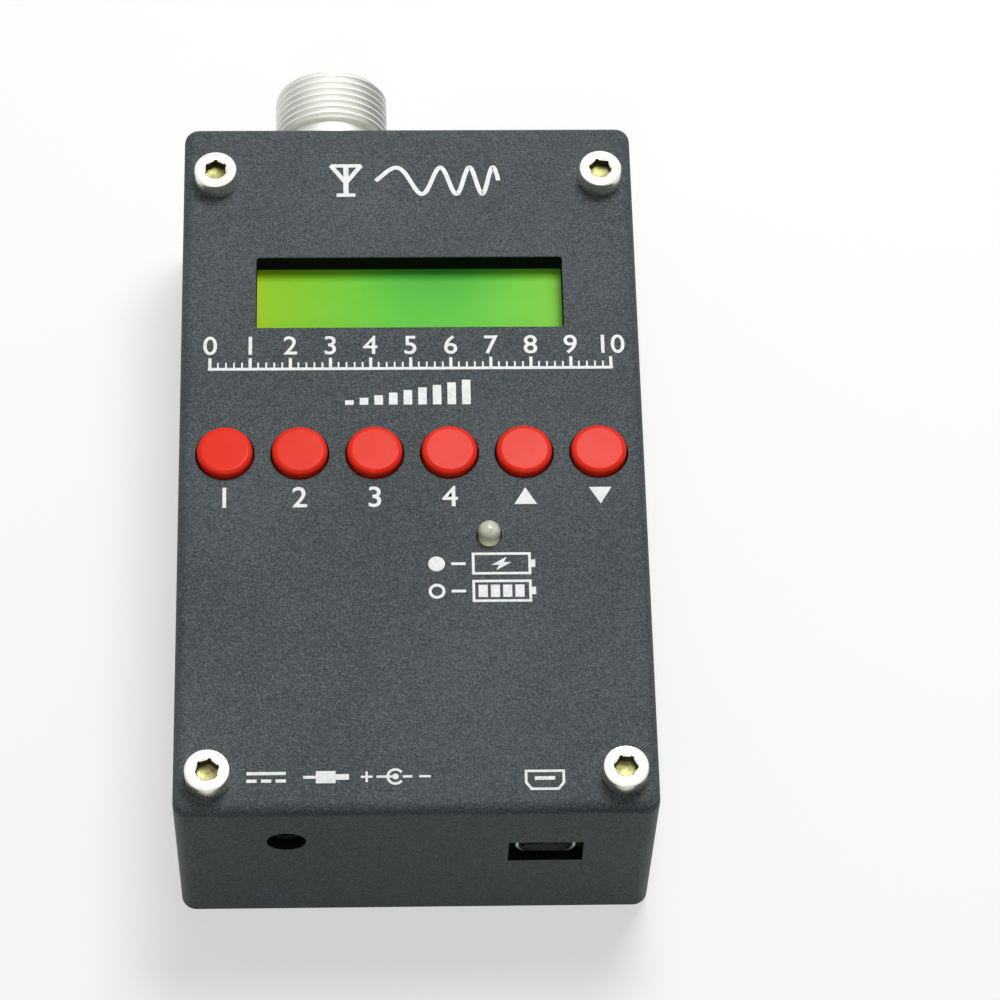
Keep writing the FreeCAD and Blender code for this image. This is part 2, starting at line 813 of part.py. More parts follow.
def make_power_jack():
    """Jack for a barrel plug: bored block, centre pin and sprung side contact."""
    body = new_body("dc_jack_body")
    front = "-1 * (inner_near)"
    made = new_sketch(body, "XZ_Plane", front)
    tall = "jack_z + jack_above_axis - board_top"
    draw_rectangle(made, "jack_width", tall, "jack_x", "board_top + (%s) / 2" % tall)
    pad(body, made, "jack_length", reverse=True)
    made = new_sketch(body, "XZ_Plane", front)
    draw_circle(made, "jack_bore_radius", "jack_x", "jack_z")
    cut(body, made, "jack_bore_depth")
    made = new_sketch(body, "XZ_Plane", front + " - jack_bore_depth")
    draw_rectangle(made, "jack_tang_width", "jack_tang_width", "jack_x", "jack_z")
    cut(body, made, "jack_length - jack_bore_depth")
    slot_height = "jack_contact_sheet + jack_contact_fit"
    slot_z = "jack_z - jack_bore_radius"
    made = new_sketch(body, "XZ_Plane", front)
    slot_width = "jack_contact_width + 2 * jack_contact_fit"
    draw_rectangle(made, slot_width, "2 * (%s)" % slot_height, "jack_x", slot_z)
    cut(body, made, "jack_bore_depth")
    pin = new_body("dc_jack_pin")
    turn(
        pin,
        [
            ("0", "jack_pin_recess"),
            ("jack_pin_radius", "jack_pin_recess"),
            ("jack_pin_radius", "jack_bore_depth"),
            ("0", "jack_bore_depth"),
        ],
    )
    made = new_sketch(pin, lift="jack_bore_depth")
    draw_rectangle(made, "jack_tang_width", "jack_tang_width", "0", "0")
    pad(pin, made, "jack_length - jack_bore_depth")
    lay_along_y(pin)
    place(pin, "jack_x", "inner_near", "jack_z")
    contact_z = "jack_z - jack_bore_radius - jack_contact_sheet - jack_contact_fit"
    keep(
        block("dc_jack_contact", "jack_contact_width", "jack_bore_depth - jack_pin_recess",
              "jack_contact_sheet", "jack_x",
              "inner_near + jack_pin_recess + (jack_bore_depth - jack_pin_recess) / 2",
              contact_z),
        "dc_jack_contact",
    )
    return pin


def data_profile(inset):
    """Corners of the data socket's mouth, drawn in by a sheet thickness."""
    top = "(data_width / 2 - %s)" % inset
    foot = "(data_foot_width / 2 - %s)" % inset
    high = "board_top + data_height - %s" % inset
    waist = "board_top + data_waist"
    low = "board_top + %s" % inset
    right = [("data_x + " + foot, low), ("data_x + " + top, waist), ("data_x + " + top, high)]
    left = [("data_x - " + top, high), ("data_x - " + top, waist), ("data_x - " + foot, low)]
    return right + left


def make_data_socket():
    """Five-way data socket: folded shell, and an insert with a tongue."""
    shell = new_body("data_socket_shell")
    front = "-1 * (near_end + data_recess)"
    made = new_sketch(shell, "XZ_Plane", front)
    draw_outline(made, data_profile("0"))
    draw_outline(made, data_profile("data_sheet"))
    pad(shell, made, "data_length", reverse=True)
    insert = new_body("data_socket_insert")
    made = new_sketch(insert, "XZ_Plane", front + " - data_length + data_back")
    draw_outline(made, data_profile("(data_sheet + data_insert_fit)"))
    pad(insert, made, "data_back", reverse=True)
    made = new_sketch(insert, "XZ_Plane", front + " - tongue_recess")
    middle = "board_top + data_height / 2"
    draw_rectangle(made, "tongue_width", "tongue_thickness", "data_x", middle)
    pad(insert, made, "data_length - data_back - tongue_recess", reverse=True)
    return shell


def make_antenna_socket():
    """Antenna socket: flanged threaded shell, insulator, centre contact, screws and nuts."""
    shell = new_body("rf_shell")
    made = new_sketch(shell)
    draw_rectangle(made, "flange_width", "flange_width")
    for x, y in FLANGE_SCREWS:
        draw_circle(made, "flange_screw_radius + flange_screw_clearance", x, y)
    pad(shell, made, "flange_thickness")
    corner = SIZES["flange_width"] / 2 - 0.01
    round_edges(shell, lambda e: upright(e) and e.Vertexes[0].X ** 2 > corner**2, "flange_corner")
    front = SIZES["flange_thickness"]
    sink = "flange_screw_head - flange_screw_radius"
    round_edges(
        shell, lambda e: at_height(e, front) and len(e.Vertexes) == 1, sink, "PartDesign::Chamfer"
    )
    bore = "insulator_radius + insulator_fit"
    rear = "-wall - barrel_length"
    turn(
        shell,
        [
            (bore, rear),
            ("barrel_radius", rear),
            ("barrel_radius", "0"),
            ("neck_radius", "flange_thickness / 2"),
            ("neck_radius", "thread_start"),
            ("thread_radius", "thread_start"),
            ("thread_radius", "socket_length"),
            ("mouth_radius", "socket_length"),
            ("mouth_radius", "shell_seat"),
            (bore, "shell_seat"),
        ],
    )
    turn(
        shell,
        [("0", rear), (bore, rear), (bore, "flange_thickness"), ("0", "flange_thickness")],
        "PartDesign::Groove",
    )
    rim = SIZES["socket_length"]
    round_edges(shell, lambda e: at_height(e, rim), "mouth_chamfer", "PartDesign::Chamfer")
    made = new_sketch(shell, lift="socket_length")
    draw_rectangle(
        made,
        "rim_notch_width",
        "thread_radius - mouth_radius + thread_depth",
        y="(thread_radius + mouth_radius) / 2",
    )
    notch = cut(shell, made, "rim_notch_depth")
    repeat_round(shell, notch, RIM_NOTCHES)
    make_thread(shell)
    insulator = new_body("rf_insulator")
    hole = "contact_radius + insulator_fit"
    turn(
        insulator,
        [
            (hole, rear),
            ("insulator_radius", rear),
            ("insulator_radius", "shell_seat"),
            ("mouth_radius - insulator_fit", "shell_seat"),
            ("mouth_radius - insulator_fit", "mouth_floor"),
            (hole, "mouth_floor"),
        ],
    )
    contact = new_body("rf_centre_contact")
    bottom = "contact_top - contact_bore_depth"
    turn(
        contact,
        [
            ("0", rear + " - tail_length"),
            ("tail_radius", rear + " - tail_length"),
            ("tail_radius", rear),
            ("contact_radius", rear),
            ("contact_radius", "contact_top"),
            ("contact_bore_radius", "contact_top"),
            ("contact_bore_radius", bottom),
            ("0", bottom),
        ],
    )
    made = new_sketch(contact, lift="contact_top")
    draw_rectangle(made, "contact_slot", "2 * contact_radius + contact_slot")
    slot = cut(contact, made, "contact_slot_depth")
    repeat_round(contact, slot, 4)
    for piece in (shell, insulator, contact):
        lay_along_y(piece)
        place(piece, "rf_x", "far_end", "rf_z")
    make_flange_fasteners()


def make_thread(shell):
    """Cut the outer thread as one helical groove of vee section."""
    made = new_sketch(shell, "XZ_Plane")
    half = "thread_pitch * %s" % VEE_HALF_WIDTH
    outside = "thread_radius + thread_depth * %s" % VEE_OVERSHOOT
    root = "thread_radius - thread_depth"
    middle = "thread_start - thread_pitch / 2"
    draw_outline(made, [(root, middle), (outside, middle + " - " + half),
                        (outside, middle + " + " + half)])
    helix = shell.newObject("PartDesign::SubtractiveHelix", "rf_thread")
    helix.Profile = made
    helix.ReferenceAxis = (made, ["V_Axis"])
    helix.Mode = "pitch-height-angle"
    bind(helix, "Pitch", "thread_pitch")
    bind(helix, "Height", "socket_length - thread_start + thread_pitch")
    doc.recompute()
    return helix


def make_flange_fasteners():
    """Countersunk screws through the flange, and the nuts behind the wall."""
    screw = new_body("rf_screw")
    head = "flange_screw_head - flange_screw_clearance"
    top = "flange_thickness"
    turn(
        screw,
        [
            ("0", top + " - flange_screw_length"),
            ("flange_screw_radius", top + " - flange_screw_length"),
            ("flange_screw_radius", top + " - flange_screw_head_height"),
            (head, top),
            ("0", top),
        ],
    )
    nut = new_body("rf_nut")
    made = new_sketch(nut)
    draw_hexagon(made, "nut_flats")
    draw_circle(made, "flange_screw_radius + flange_screw_clearance / 2")
    pad(nut, made, "nut_height")
    for piece in (screw, nut):
        lay_along_y(piece)
    spots = [("rf_x + " + x, "rf_z + " + y) for x, y in FLANGE_SCREWS]
    group("rf_screws", screw, [(x, "far_end", z) for x, z in spots])
    group("rf_nuts", nut, [(x, "far_end - wall - nut_height", z) for x, z in spots])


def make_power_switch():
    """Slide switch: tray, slotted cover and a lever that reaches out through the wall."""
    case = new_body("power_switch_case")
    front = "-1 * (power_front - power_cover)"
    made = new_sketch(case, "XZ_Plane", front)
    draw_rectangle(made, "power_width", "power_height", "power_x", "power_z")
    pad(case, made, "power_depth - power_cover")
    made = new_sketch(case, "XZ_Plane", front)
    room = "carriage_width + power_travel + 2 * carriage_clearance"
    draw_rectangle(made, room, "power_height - 2 * power_wall", "power_x", "power_z")
    cut(case, made, "carriage_depth + 2 * carriage_clearance", reverse=True)
    cover = new_body("power_switch_cover")
    made = new_sketch(cover, "XZ_Plane", front)
    draw_rectangle(made, "power_width", "power_height", "power_x", "power_z")
    slot = "lever_width + power_travel + 2 * lever_clearance"
    draw_rectangle(made, slot, "lever_height + 2 * lever_clearance", "power_x", "power_z")
    pad(cover, made, "power_cover", reverse=True)
    slider = new_body("power_slider")
    made = new_sketch(slider, "XZ_Plane", front + " + carriage_clearance")
    rest_x = "power_x + rest_shift"
    tall = "power_height - 2 * power_wall - 2 * carriage_clearance"
    draw_rectangle(made, "carriage_width", tall, rest_x, "power_z")
    pad(slider, made, "carriage_depth")
    made = new_sketch(slider, "XZ_Plane", front + " + carriage_clearance")
    draw_rectangle(made, "lever_width", "lever_height", rest_x, "power_z")
    pad(slider, made, "lever_tip - power_front + power_cover + carriage_clearance", reverse=True)
    tip = SIZES["case_length"] / 2 + SIZES["lever_reach"]
    round_edges(slider, lambda e: abs(e.BoundBox.YMin - tip) < 1e-6, "lever_round")
    return slider


def make_battery():
    """Rechargeable pack on its foam pad, with its two leads, plug and socket."""
    pack = new_body("battery_pack")
    made = new_sketch(pack, lift="battery_under")
    draw_rectangle(made, "battery_width", "battery_length", y="battery_y")
    pad(pack, made, "battery_thickness")
    round_edges(pack, upright, "battery_round")
    keep(
        block(
            "battery_pad",
            "battery_width - 2 * pad_margin",
            "battery_length - 2 * pad_margin",
            "pad_thickness",
            y="battery_y",
            z="base_thickness",
        ),
        "battery_pad",
    )
    plug = new_body("battery_plug")
    made = new_sketch(plug, "XZ_Plane", "-plug_y")
    draw_rectangle(made, "plug_width", "plug_height", "plug_x", "plug_z")
    pad(plug, made, "plug_length", reverse=True)
    socket = new_body("battery_socket")
    made = new_sketch(socket, "XZ_Plane", "-plug_y - plug_out")
    wall = "2 * plug_fit + 2 * socket_wall"
    draw_rectangle(made, "plug_width + " + wall, "plug_height + " + wall, "plug_x", "plug_z")
    pad(socket, made, "plug_length - plug_out + plug_fit + socket_wall", reverse=True)
    made = new_sketch(socket, "XZ_Plane", "-plug_y - plug_out")
    fit = "2 * plug_fit"
    draw_rectangle(made, "plug_width + " + fit, "plug_height + " + fit, "plug_x", "plug_z")
    cut(socket, made, "plug_length - plug_out + plug_fit")
    wire = keep(rod("battery_wire", "wire_radius", "plug_y - battery_end"), "battery_wire")
    lay_along_y(wire)
    spots = [("plug_x + %s wire_pitch / 2" % side, "battery_end", "plug_z") for side in SIDES]
    return group("battery_leads", wire, spots)


def make_chip(label, width, length, height, x, y):
    """One moulded component standing on the main board, its top edges drawn in."""
    body = new_body(label)
    made = new_sketch(body, lift="board_top")
    draw_rectangle(made, width, length, x, y)
    pad(body, made, height)
    doc.recompute()
    top = body.Shape.BoundBox.ZMax
    round_edges(body, lambda e: at_height(e, top), "chip_chamfer", "PartDesign::Chamfer")
    return body


def make_components():
    """The larger electronic components on top of the main board."""
    make_chip(
        "processor", "processor_width", "processor_width", "processor_height", "0", "processor_y"
    )
    make_chip(
        "synthesizer",
        "synthesizer_length",
        "synthesizer_width",
        "synthesizer_height",
        "synthesizer_x",
        "synthesizer_y",
    )
    make_chip(
        "charger_chip",
        "charger_length",
        "charger_width",
        "charger_height",
        "charger_x",
        "charger_y",
    )
    make_chip(
        "power_inductor",
        "inductor_width",
        "inductor_width",
        "inductor_height",
        "inductor_x",
        "inductor_y",
    )
    crystal = new_body("crystal")
    made = new_sketch(crystal, lift="board_top")
    draw_rectangle(made, "crystal_length", "crystal_width", "synthesizer_x", "crystal_y")
    pad(crystal, made, "crystal_height")
    round_edges(crystal, upright, "crystal_width / 2 * %s" % FULL_ROUND)
    can = new_body("filter_capacitor")
    made = new_sketch(can)
    draw_circle(made, "capacitor_radius")
    pad(can, made, "capacitor_height")
    height = SIZES["capacitor_height"]
    round_edges(can, lambda e: at_height(e, height), "chip_chamfer")
    spots = [
        ("capacitor_x", "capacitor_y + %d * capacitor_pitch" % i, "board_top") for i in (0, 1)
    ]
    return group("filter_capacitors", can, spots)


def check_and_export():
    """Stop on any failed object, then write each piece to its own file."""
    doc.recompute()
    failed = [o.Label for o in doc.Objects if {"Invalid", "Error"} & set(o.State)]
    if failed:
        raise RuntimeError("failed objects: " + ", ".join(failed))
    os.makedirs("parts", exist_ok=True)
    for item in PARTS:
        shape = item.Shape
        if shape.isNull() or not shape.isValid() or not shape.Solids:
            raise RuntimeError("bad shape: " + item.Label)
        shape.exportStep("parts/" + item.Label + ".step")
        print("%-20s %2d solids %10.2f mm3" % (item.Label, len(shape.Solids), shape.Volume))


make_top_shell()
make_base_plate()
make_case_screws()
make_posts()
make_main_board()
make_display()
for button_number, button_x in enumerate(BUTTONS, start=1):
    make_button(button_number, button_x)
make_snap_domes()
make_lamp()
make_power_jack()
make_data_socket()
make_antenna_socket()
make_power_switch()
make_battery()
make_components()
check_and_export()
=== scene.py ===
"""Antenna analyzer: the looks of a coated metal box with its display, buttons and sockets.

Sizes are in millimetres, and turn into metres where a mesh or a pattern is made.
"""

import logging
import math
from dataclasses import dataclass
from enum import Enum
from typing import Sequence

import bmesh
import bpy
from mathutils import Matrix, Vector


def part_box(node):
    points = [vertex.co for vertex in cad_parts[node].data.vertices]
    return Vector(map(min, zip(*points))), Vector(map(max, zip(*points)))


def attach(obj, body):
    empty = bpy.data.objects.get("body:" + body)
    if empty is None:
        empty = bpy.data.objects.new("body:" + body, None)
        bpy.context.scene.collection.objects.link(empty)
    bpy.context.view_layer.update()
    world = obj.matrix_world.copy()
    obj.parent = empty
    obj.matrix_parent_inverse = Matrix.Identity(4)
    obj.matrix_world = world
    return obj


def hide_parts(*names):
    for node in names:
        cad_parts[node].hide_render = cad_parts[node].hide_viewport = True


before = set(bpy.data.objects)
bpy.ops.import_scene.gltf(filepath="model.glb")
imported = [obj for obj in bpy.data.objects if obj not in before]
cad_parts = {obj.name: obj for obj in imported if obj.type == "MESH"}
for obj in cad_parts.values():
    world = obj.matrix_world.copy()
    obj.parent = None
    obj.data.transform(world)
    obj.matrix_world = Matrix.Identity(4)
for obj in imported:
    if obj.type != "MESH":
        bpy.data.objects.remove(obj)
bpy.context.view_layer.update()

LOG = logging.getLogger("antenna_analyzer")
MM = 0.001
SHARP_EDGE = math.radians(32)
ROUND_STEPS = 72
SAME_SPOT = 1e-7

# The parts of a noise's range, around a half, that the tint and the gloss are spread over.
TINT_RANGE = (0.35, 0.7)
GLOSS_RANGE = (0.3, 0.7)
# A wave texture of scale one has its rings this far apart, in its own units.
RING_SPACING = 0.31

Ring = list[Vector]
Point = tuple[float, float]


def linear(hex_colour: str) -> tuple[float, float, float, float]:
    """Turn an sRGB colour into linear light.

    Args:
        hex_colour: Six hex digits after a hash sign.

    Returns:
        Red, green, blue and an alpha of one.
    """
    values = [int(hex_colour[i : i + 2], 16) / 255 for i in (1, 3, 5)]
    red, green, blue = [
        v / 12.92 if v <= 0.04045 else ((v + 0.055) / 1.055) ** 2.4 for v in values
    ]
    return (red, green, blue, 1.0)


def even_turns(steps: int) -> list[float]:
    """Return the angles that split a whole turn into even steps."""
    return [2 * math.pi * i / steps for i in range(steps)]


def middle_of(node: str) -> Vector:
    """Return the middle of a node's box, mm."""
    low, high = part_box(node)
    return (low + high) / 2 / MM


def add_node(
    tree: bpy.types.NodeTree,
    kind: str,
    values: dict | None = None,
    links: dict | None = None,
    **settings: object,
) -> bpy.types.Node:
    """Add a node with its settings, socket values and incoming links.

    Args:
        tree: The node tree that gets the node.
        kind: The node's type name.
        values: Input socket, by name or number, to its value.
        links: Input socket, by name or number, to the output that feeds it.
        settings: Attributes of the node itself.

    Returns:
        The new node.
    """
    made = tree.nodes.new(kind)
    for attribute, setting in settings.items():
        setattr(made, attribute, setting)
    for socket, value in (values or {}).items():
        made.inputs[socket].default_value = value
    for socket, source in (links or {}).items():
        tree.links.new(source, made.inputs[socket])
    return made


@dataclass(frozen=True)
class Finish:
    """A surface, by what it is made of and how it was made.

    Attributes:
        name: The finish in a maker's words, or the light or shade that it paints.
        colour: Main colour, sRGB hex.
        tint: The colour that broad patches drift to.
        patch: Width of the patches of drift, mm.
        grain: Width of one grain of the surface's relief, mm.
        relief: Height of that relief, mm.
        roughness: Middle roughness.
        swing: How far the roughness strays either way.
        metallic: One for bare metal.
        ior: Index of refraction of what isn't metal.
        shine: Specular level, where a half is the plain one.
        coat: Weight of a clear gloss layer.
    """

    name: str
    colour: str
    tint: str
    patch: float = 7.0
    grain: float = 0.5
    relief: float = 0.004
    roughness: float = 0.5
    swing: float = 0.06
    metallic: float = 0.0
    ior: float = 1.5
    shine: float = 0.5
    coat: float = 0.0

    def place(self, tree: bpy.types.NodeTree) -> bpy.types.NodeSocket:
        """Return the place on the object, in metres, that the patterns read."""
        return add_node(tree, "ShaderNodeTexCoord").outputs["Object"]

    def noise(
        self, tree: bpy.types.NodeTree, width: float, detail: float = 3.0
    ) -> bpy.types.NodeSocket:
        """Add a soft noise.

        Args:
            tree: The material's node tree.
            width: Width of one patch of the noise, mm.
            detail: How many finer layers it has.

        Returns:
            The noise's value, around a half.
        """
        values = {"Scale": 1 / (width * MM), "Detail": detail, "Roughness": 0.6}
        made = add_node(tree, "ShaderNodeTexNoise", values, {"Vector": self.place(tree)})
        return made.outputs["Fac"]

    def blend(
        self,
        tree: bpy.types.NodeTree,
        share: bpy.types.NodeSocket,
        first: str | bpy.types.NodeSocket,
        second: str,
    ) -> bpy.types.NodeSocket:
        """Mix two colours by a share.

        Args:
            tree: The material's node tree.
            share: Nought for the first colour and one for the second.
            first: A hex colour or the output of another colour.
            second: A hex colour.

        Returns:
            The mixed colour.
        """
        values, links = {7: linear(second)}, {0: share}
        if isinstance(first, str):
            values[6] = linear(first)
        else:
            links[6] = first
        return add_node(tree, "ShaderNodeMix", values, links, data_type="RGBA").outputs[2]

    def spread(
        self,
        tree: bpy.types.NodeTree,
        value: bpy.types.NodeSocket,
        old: Point,
        new: Point = (0, 1),
    ) -> bpy.types.NodeSocket:
        """Stretch a value from an old range to a new one, and clamp it there.

        Args:
            tree: The material's node tree.
            value: The output to stretch.
            old: The range that it has.
            new: The range that it gets.

        Returns:
            The stretched value.
        """
        values = {"From Min": old[0], "From Max": old[1], "To Min": new[0], "To Max": new[1]}
        return add_node(tree, "ShaderNodeMapRange", values, {"Value": value}).outputs[0]

    def near(
        self,
        tree: bpy.types.NodeTree,
        middle: tuple[float, float, float],
        reach: float,
        most: float,
    ) -> bpy.types.NodeSocket:
        """Measure how near a spot the surface is.

        Args:
            tree: The material's node tree.
            middle: Middle of the spot, mm.
            reach: How far the spot reaches, mm.
            most: The value at its middle.

        Returns:
            The value, which falls to nought at the spot's reach.
        """
        away = add_node(
            tree,
            "ShaderNodeVectorMath",
            {1: tuple(c * MM for c in middle)},
            {0: self.place(tree)},
            operation="DISTANCE",
        )
        return self.spread(tree, away.outputs["Value"], (0, reach * MM), (most, 0))

    def paint(self, tree: bpy.types.NodeTree) -> bpy.types.NodeSocket:
        """Return the surface's colour: the main one, drifting to the tint in patches."""
        share = self.spread(tree, self.noise(tree, self.patch), TINT_RANGE)
        return self.blend(tree, share, self.colour, self.tint)

    def height(self, tree: bpy.types.NodeTree) -> bpy.types.NodeSocket:
        """Return the height of the surface's relief, from nought to one."""
        return self.noise(tree, self.grain, 2.0)

    def finish_shader(self, tree: bpy.types.NodeTree, shader: bpy.types.Node) -> None:
        """Set what only this finish has on its shader."""

    def material(self) -> bpy.types.Material:
        """Return the finish as a material, made on first use."""
        made = bpy.data.materials.get(self.name)
        if made:
            return made
        made = bpy.data.materials.new(self.name)
        made.use_nodes = True
        tree = made.node_tree
        tree.nodes.clear()
        gloss = (self.roughness - self.swing, self.roughness + self.swing)
        roughness = self.spread(tree, self.noise(tree, self.patch / 2), GLOSS_RANGE, gloss)
        bump = add_node(
            tree,
            "ShaderNodeBump",
            {"Strength": 1.0, "Distance": self.relief * MM},
            {"Height": self.height(tree)},
        )
        values = {"Metallic": self.metallic, "Specular IOR Level": self.shine}
        values["Coat Weight"] = self.coat
        links = {"Base Color": self.paint(tree), "Roughness": roughness, "Normal": bump.outputs[0]}
        shader = add_node(tree, "ShaderNodeBsdfPrincipled", values, links)
        if not self.metallic:
            shader.inputs["IOR"].default_value = self.ior
        self.finish_shader(tree, shader)
        add_node(tree, "ShaderNodeOutputMaterial", links={"Surface": shader.outputs[0]})
        return made


@dataclass(frozen=True)
class PowderCoat(Finish):
    """Powder coat: baked grains that stand up and catch the light as pale flecks.

    Attributes:
        fleck: The painted highlight on a grain's top.
        fleck_share: How much of that colour the tops take.
        pit: The painted shade between the grains.
        pit_share: How much of that colour the hollows take.
        pit_range: Heights between which the painted shade fades in.
        fleck_range: Heights between which the painted highlight fades in.
        fleck_range: Heights between which a grain's top fades in.
    """

    # The grains' tops get a painted highlight, and the hollows between them get painted shade.
    fleck: str = "#8B9296"
    fleck_share: float = 0.4
    pit: str = "#0D0F10"
    pit_share: float = 0.7
    pit_range: Point = (0.5, 0.3)
    fleck_range: Point = (0.52, 0.75)

    def paint(self, tree: bpy.types.NodeTree) -> bpy.types.NodeSocket:
        """Return the drifting colour with painted highlights on the grains' tops and painted shade
        between them.
        """
        grains = self.height(tree)
        crevice_shading = self.spread(tree, grains, self.pit_range, (0, self.pit_share))
        grain_highlighting = self.spread(tree, grains, self.fleck_range, (0, self.fleck_share))
        crevice_shaded = self.blend(tree, crevice_shading, Finish.paint(self, tree), self.pit)
        return self.blend(tree, grain_highlighting, crevice_shaded, self.fleck)

    def height(self, tree: bpy.types.NodeTree) -> bpy.types.NodeSocket:
        """Return the grains: sharp-edged clumps with finer grit on them."""
        values = {"Scale": 1 / (self.grain * MM), "Detail": 4.0, "Roughness": 0.75}
        made = add_node(tree, "ShaderNodeTexNoise", values, {"Vector": self.place(tree)})
        return made.outputs["Fac"]


@dataclass(frozen=True)
class TurnedMetal(Finish):
    """Metal turned on a lathe: fine rings about the work's own axis, under any plating.

    Attributes:
        axis_x: Where the work's axis along Y stands across the object, mm.
        axis_z: How high it is, mm.
    """

    axis_x: float = 0.0
    axis_z: float = 0.0

    def height(self, tree: bpy.types.NodeTree) -> bpy.types.NodeSocket:
        """Return the rings that the tool left, one grain apart."""
        middle = (self.axis_x * MM, 0, self.axis_z * MM)
        moved = add_node(
            tree,
            "ShaderNodeVectorMath",
            {1: middle},
            {0: self.place(tree)},
            operation="SUBTRACT",
        )
        rings = add_node(
            tree,
            "ShaderNodeTexWave",
            {"Scale": RING_SPACING / (self.grain * MM), "Distortion": 1.2, "Detail Scale": 1.5},
            {"Vector": moved.outputs[0]},
            wave_type="RINGS",
            rings_direction="Y",
        )
        return rings.outputs["Fac"]


@dataclass(frozen=True)
class RolledSheet(Finish):
    """Rolled or brushed sheet metal: long fine scratches along X.

    Attributes:
        stretch: How many times as long as wide a scratch is.
    """

    stretch: float = 14.0

    def height(self, tree: bpy.types.NodeTree) -> bpy.types.NodeSocket:
        """Return scratches as long as the stretch says."""
        squeezed = add_node(
            tree,
            "ShaderNodeVectorMath",
            {1: (1 / self.stretch, 1.0, 1.0)},
            {0: self.place(tree)},
            operation="MULTIPLY",
        )
        values = {"Scale": 1 / (self.grain * MM), "Detail": 2.0}
        return add_node(
            tree, "ShaderNodeTexNoise", values, {"Vector": squeezed.outputs[0]}
        ).outputs["Fac"]


@dataclass(frozen=True)
class SolderMask(Finish):
    """Circuit board under solder mask: copper tracks show through as paler raised lines.

    Attributes:
        track: The colour over the copper.
        track_edge: Distances from a track's middle, in grains, where it ends.
    """

    track: str = "#1C6635"
    track_edge: Point = (0.04, 0.09)

    def height(self, tree: bpy.types.NodeTree) -> bpy.types.NodeSocket:
        """Return the tracks, one where there is copper."""
        cells = add_node(
            tree,
            "ShaderNodeTexVoronoi",
            {"Scale": 1 / (self.grain * MM), "Randomness": 0.75},
            {"Vector": self.place(tree)},
            feature="DISTANCE_TO_EDGE",
            distance="EUCLIDEAN",
        )
        return self.spread(tree, cells.outputs["Distance"], self.track_edge, (1, 0))

    def paint(self, tree: bpy.types.NodeTree) -> bpy.types.NodeSocket:
        """Return the mask's green, paler over the tracks."""
        return self.blend(tree, self.height(tree), Finish.paint(self, tree), self.track)


@dataclass(frozen=True)
class LitPanel(Finish):
    """Display lit from one end: yellow-green by the light, leafy on, with a painted shadow of the
    window's far wall over its far part.

    Attributes:
        left: X of the panel's lit end, mm.
        width: How wide the window is, mm.
        cool: The colour of the painted shadow of the window's far wall.
        cool_at: Middle of that painted shadow, mm.
        cool_reach: How far the painted shadow reaches, mm.
        cool_share: How much of the shadow's colour its middle takes.
        glow: Strength of the panel's own light.
        steps: Colours from the lit end to the other, each at its share of the width.
    """

    left: float = -20.9
    width: float = 41.8
    cool: str = "#3FA53A"
    cool_at: tuple[float, float, float] = (4.0, 32.5, 27.3)
    cool_reach: float = 12.0
    cool_share: float = 0.85
    glow: float = 0.06
    steps: tuple[tuple[float, str], ...] = (
        (0.0, "#A3CC12"),
        (0.05, "#8ECA19"),
        (0.2, "#7CC826"),
        (0.45, "#62CA3C"),
        (0.7, "#63CB3C"),
        (0.95, "#7CCE38"),
        (1.0, "#6CB52E"),
    )

    def paint(self, tree: bpy.types.NodeTree) -> bpy.types.NodeSocket:
        """Return the panel's colour along the window, with the painted shadow of its far wall."""
        apart = add_node(tree, "ShaderNodeSeparateXYZ", links={0: self.place(tree)})
        ends = (self.left * MM, (self.left + self.width) * MM)
        along = self.spread(tree, apart.outputs[0], ends)
        ramp = add_node(tree, "ShaderNodeValToRGB", links={0: along})
        stops = ramp.color_ramp.elements
        while len(stops) < len(self.steps):
            stops.new(0.5)
        for stop, (share, colour) in zip(stops, self.steps):
            stop.position = share
            stop.color = linear(colour)
        # Painted shadow of the window's far wall, which darkens the panel's far part.
        near = self.near(tree, self.cool_at, self.cool_reach, self.cool_share)
        return self.blend(tree, near, ramp.outputs["Color"], self.cool)

    def finish_shader(self, tree: bpy.types.NodeTree, shader: bpy.types.Node) -> None:
        """Give the panel its own light, in its own colours."""
        colour = shader.inputs["Base Color"].links[0].from_socket
        tree.links.new(colour, shader.inputs["Emission Color"])
        shader.inputs["Emission Strength"].default_value = self.glow


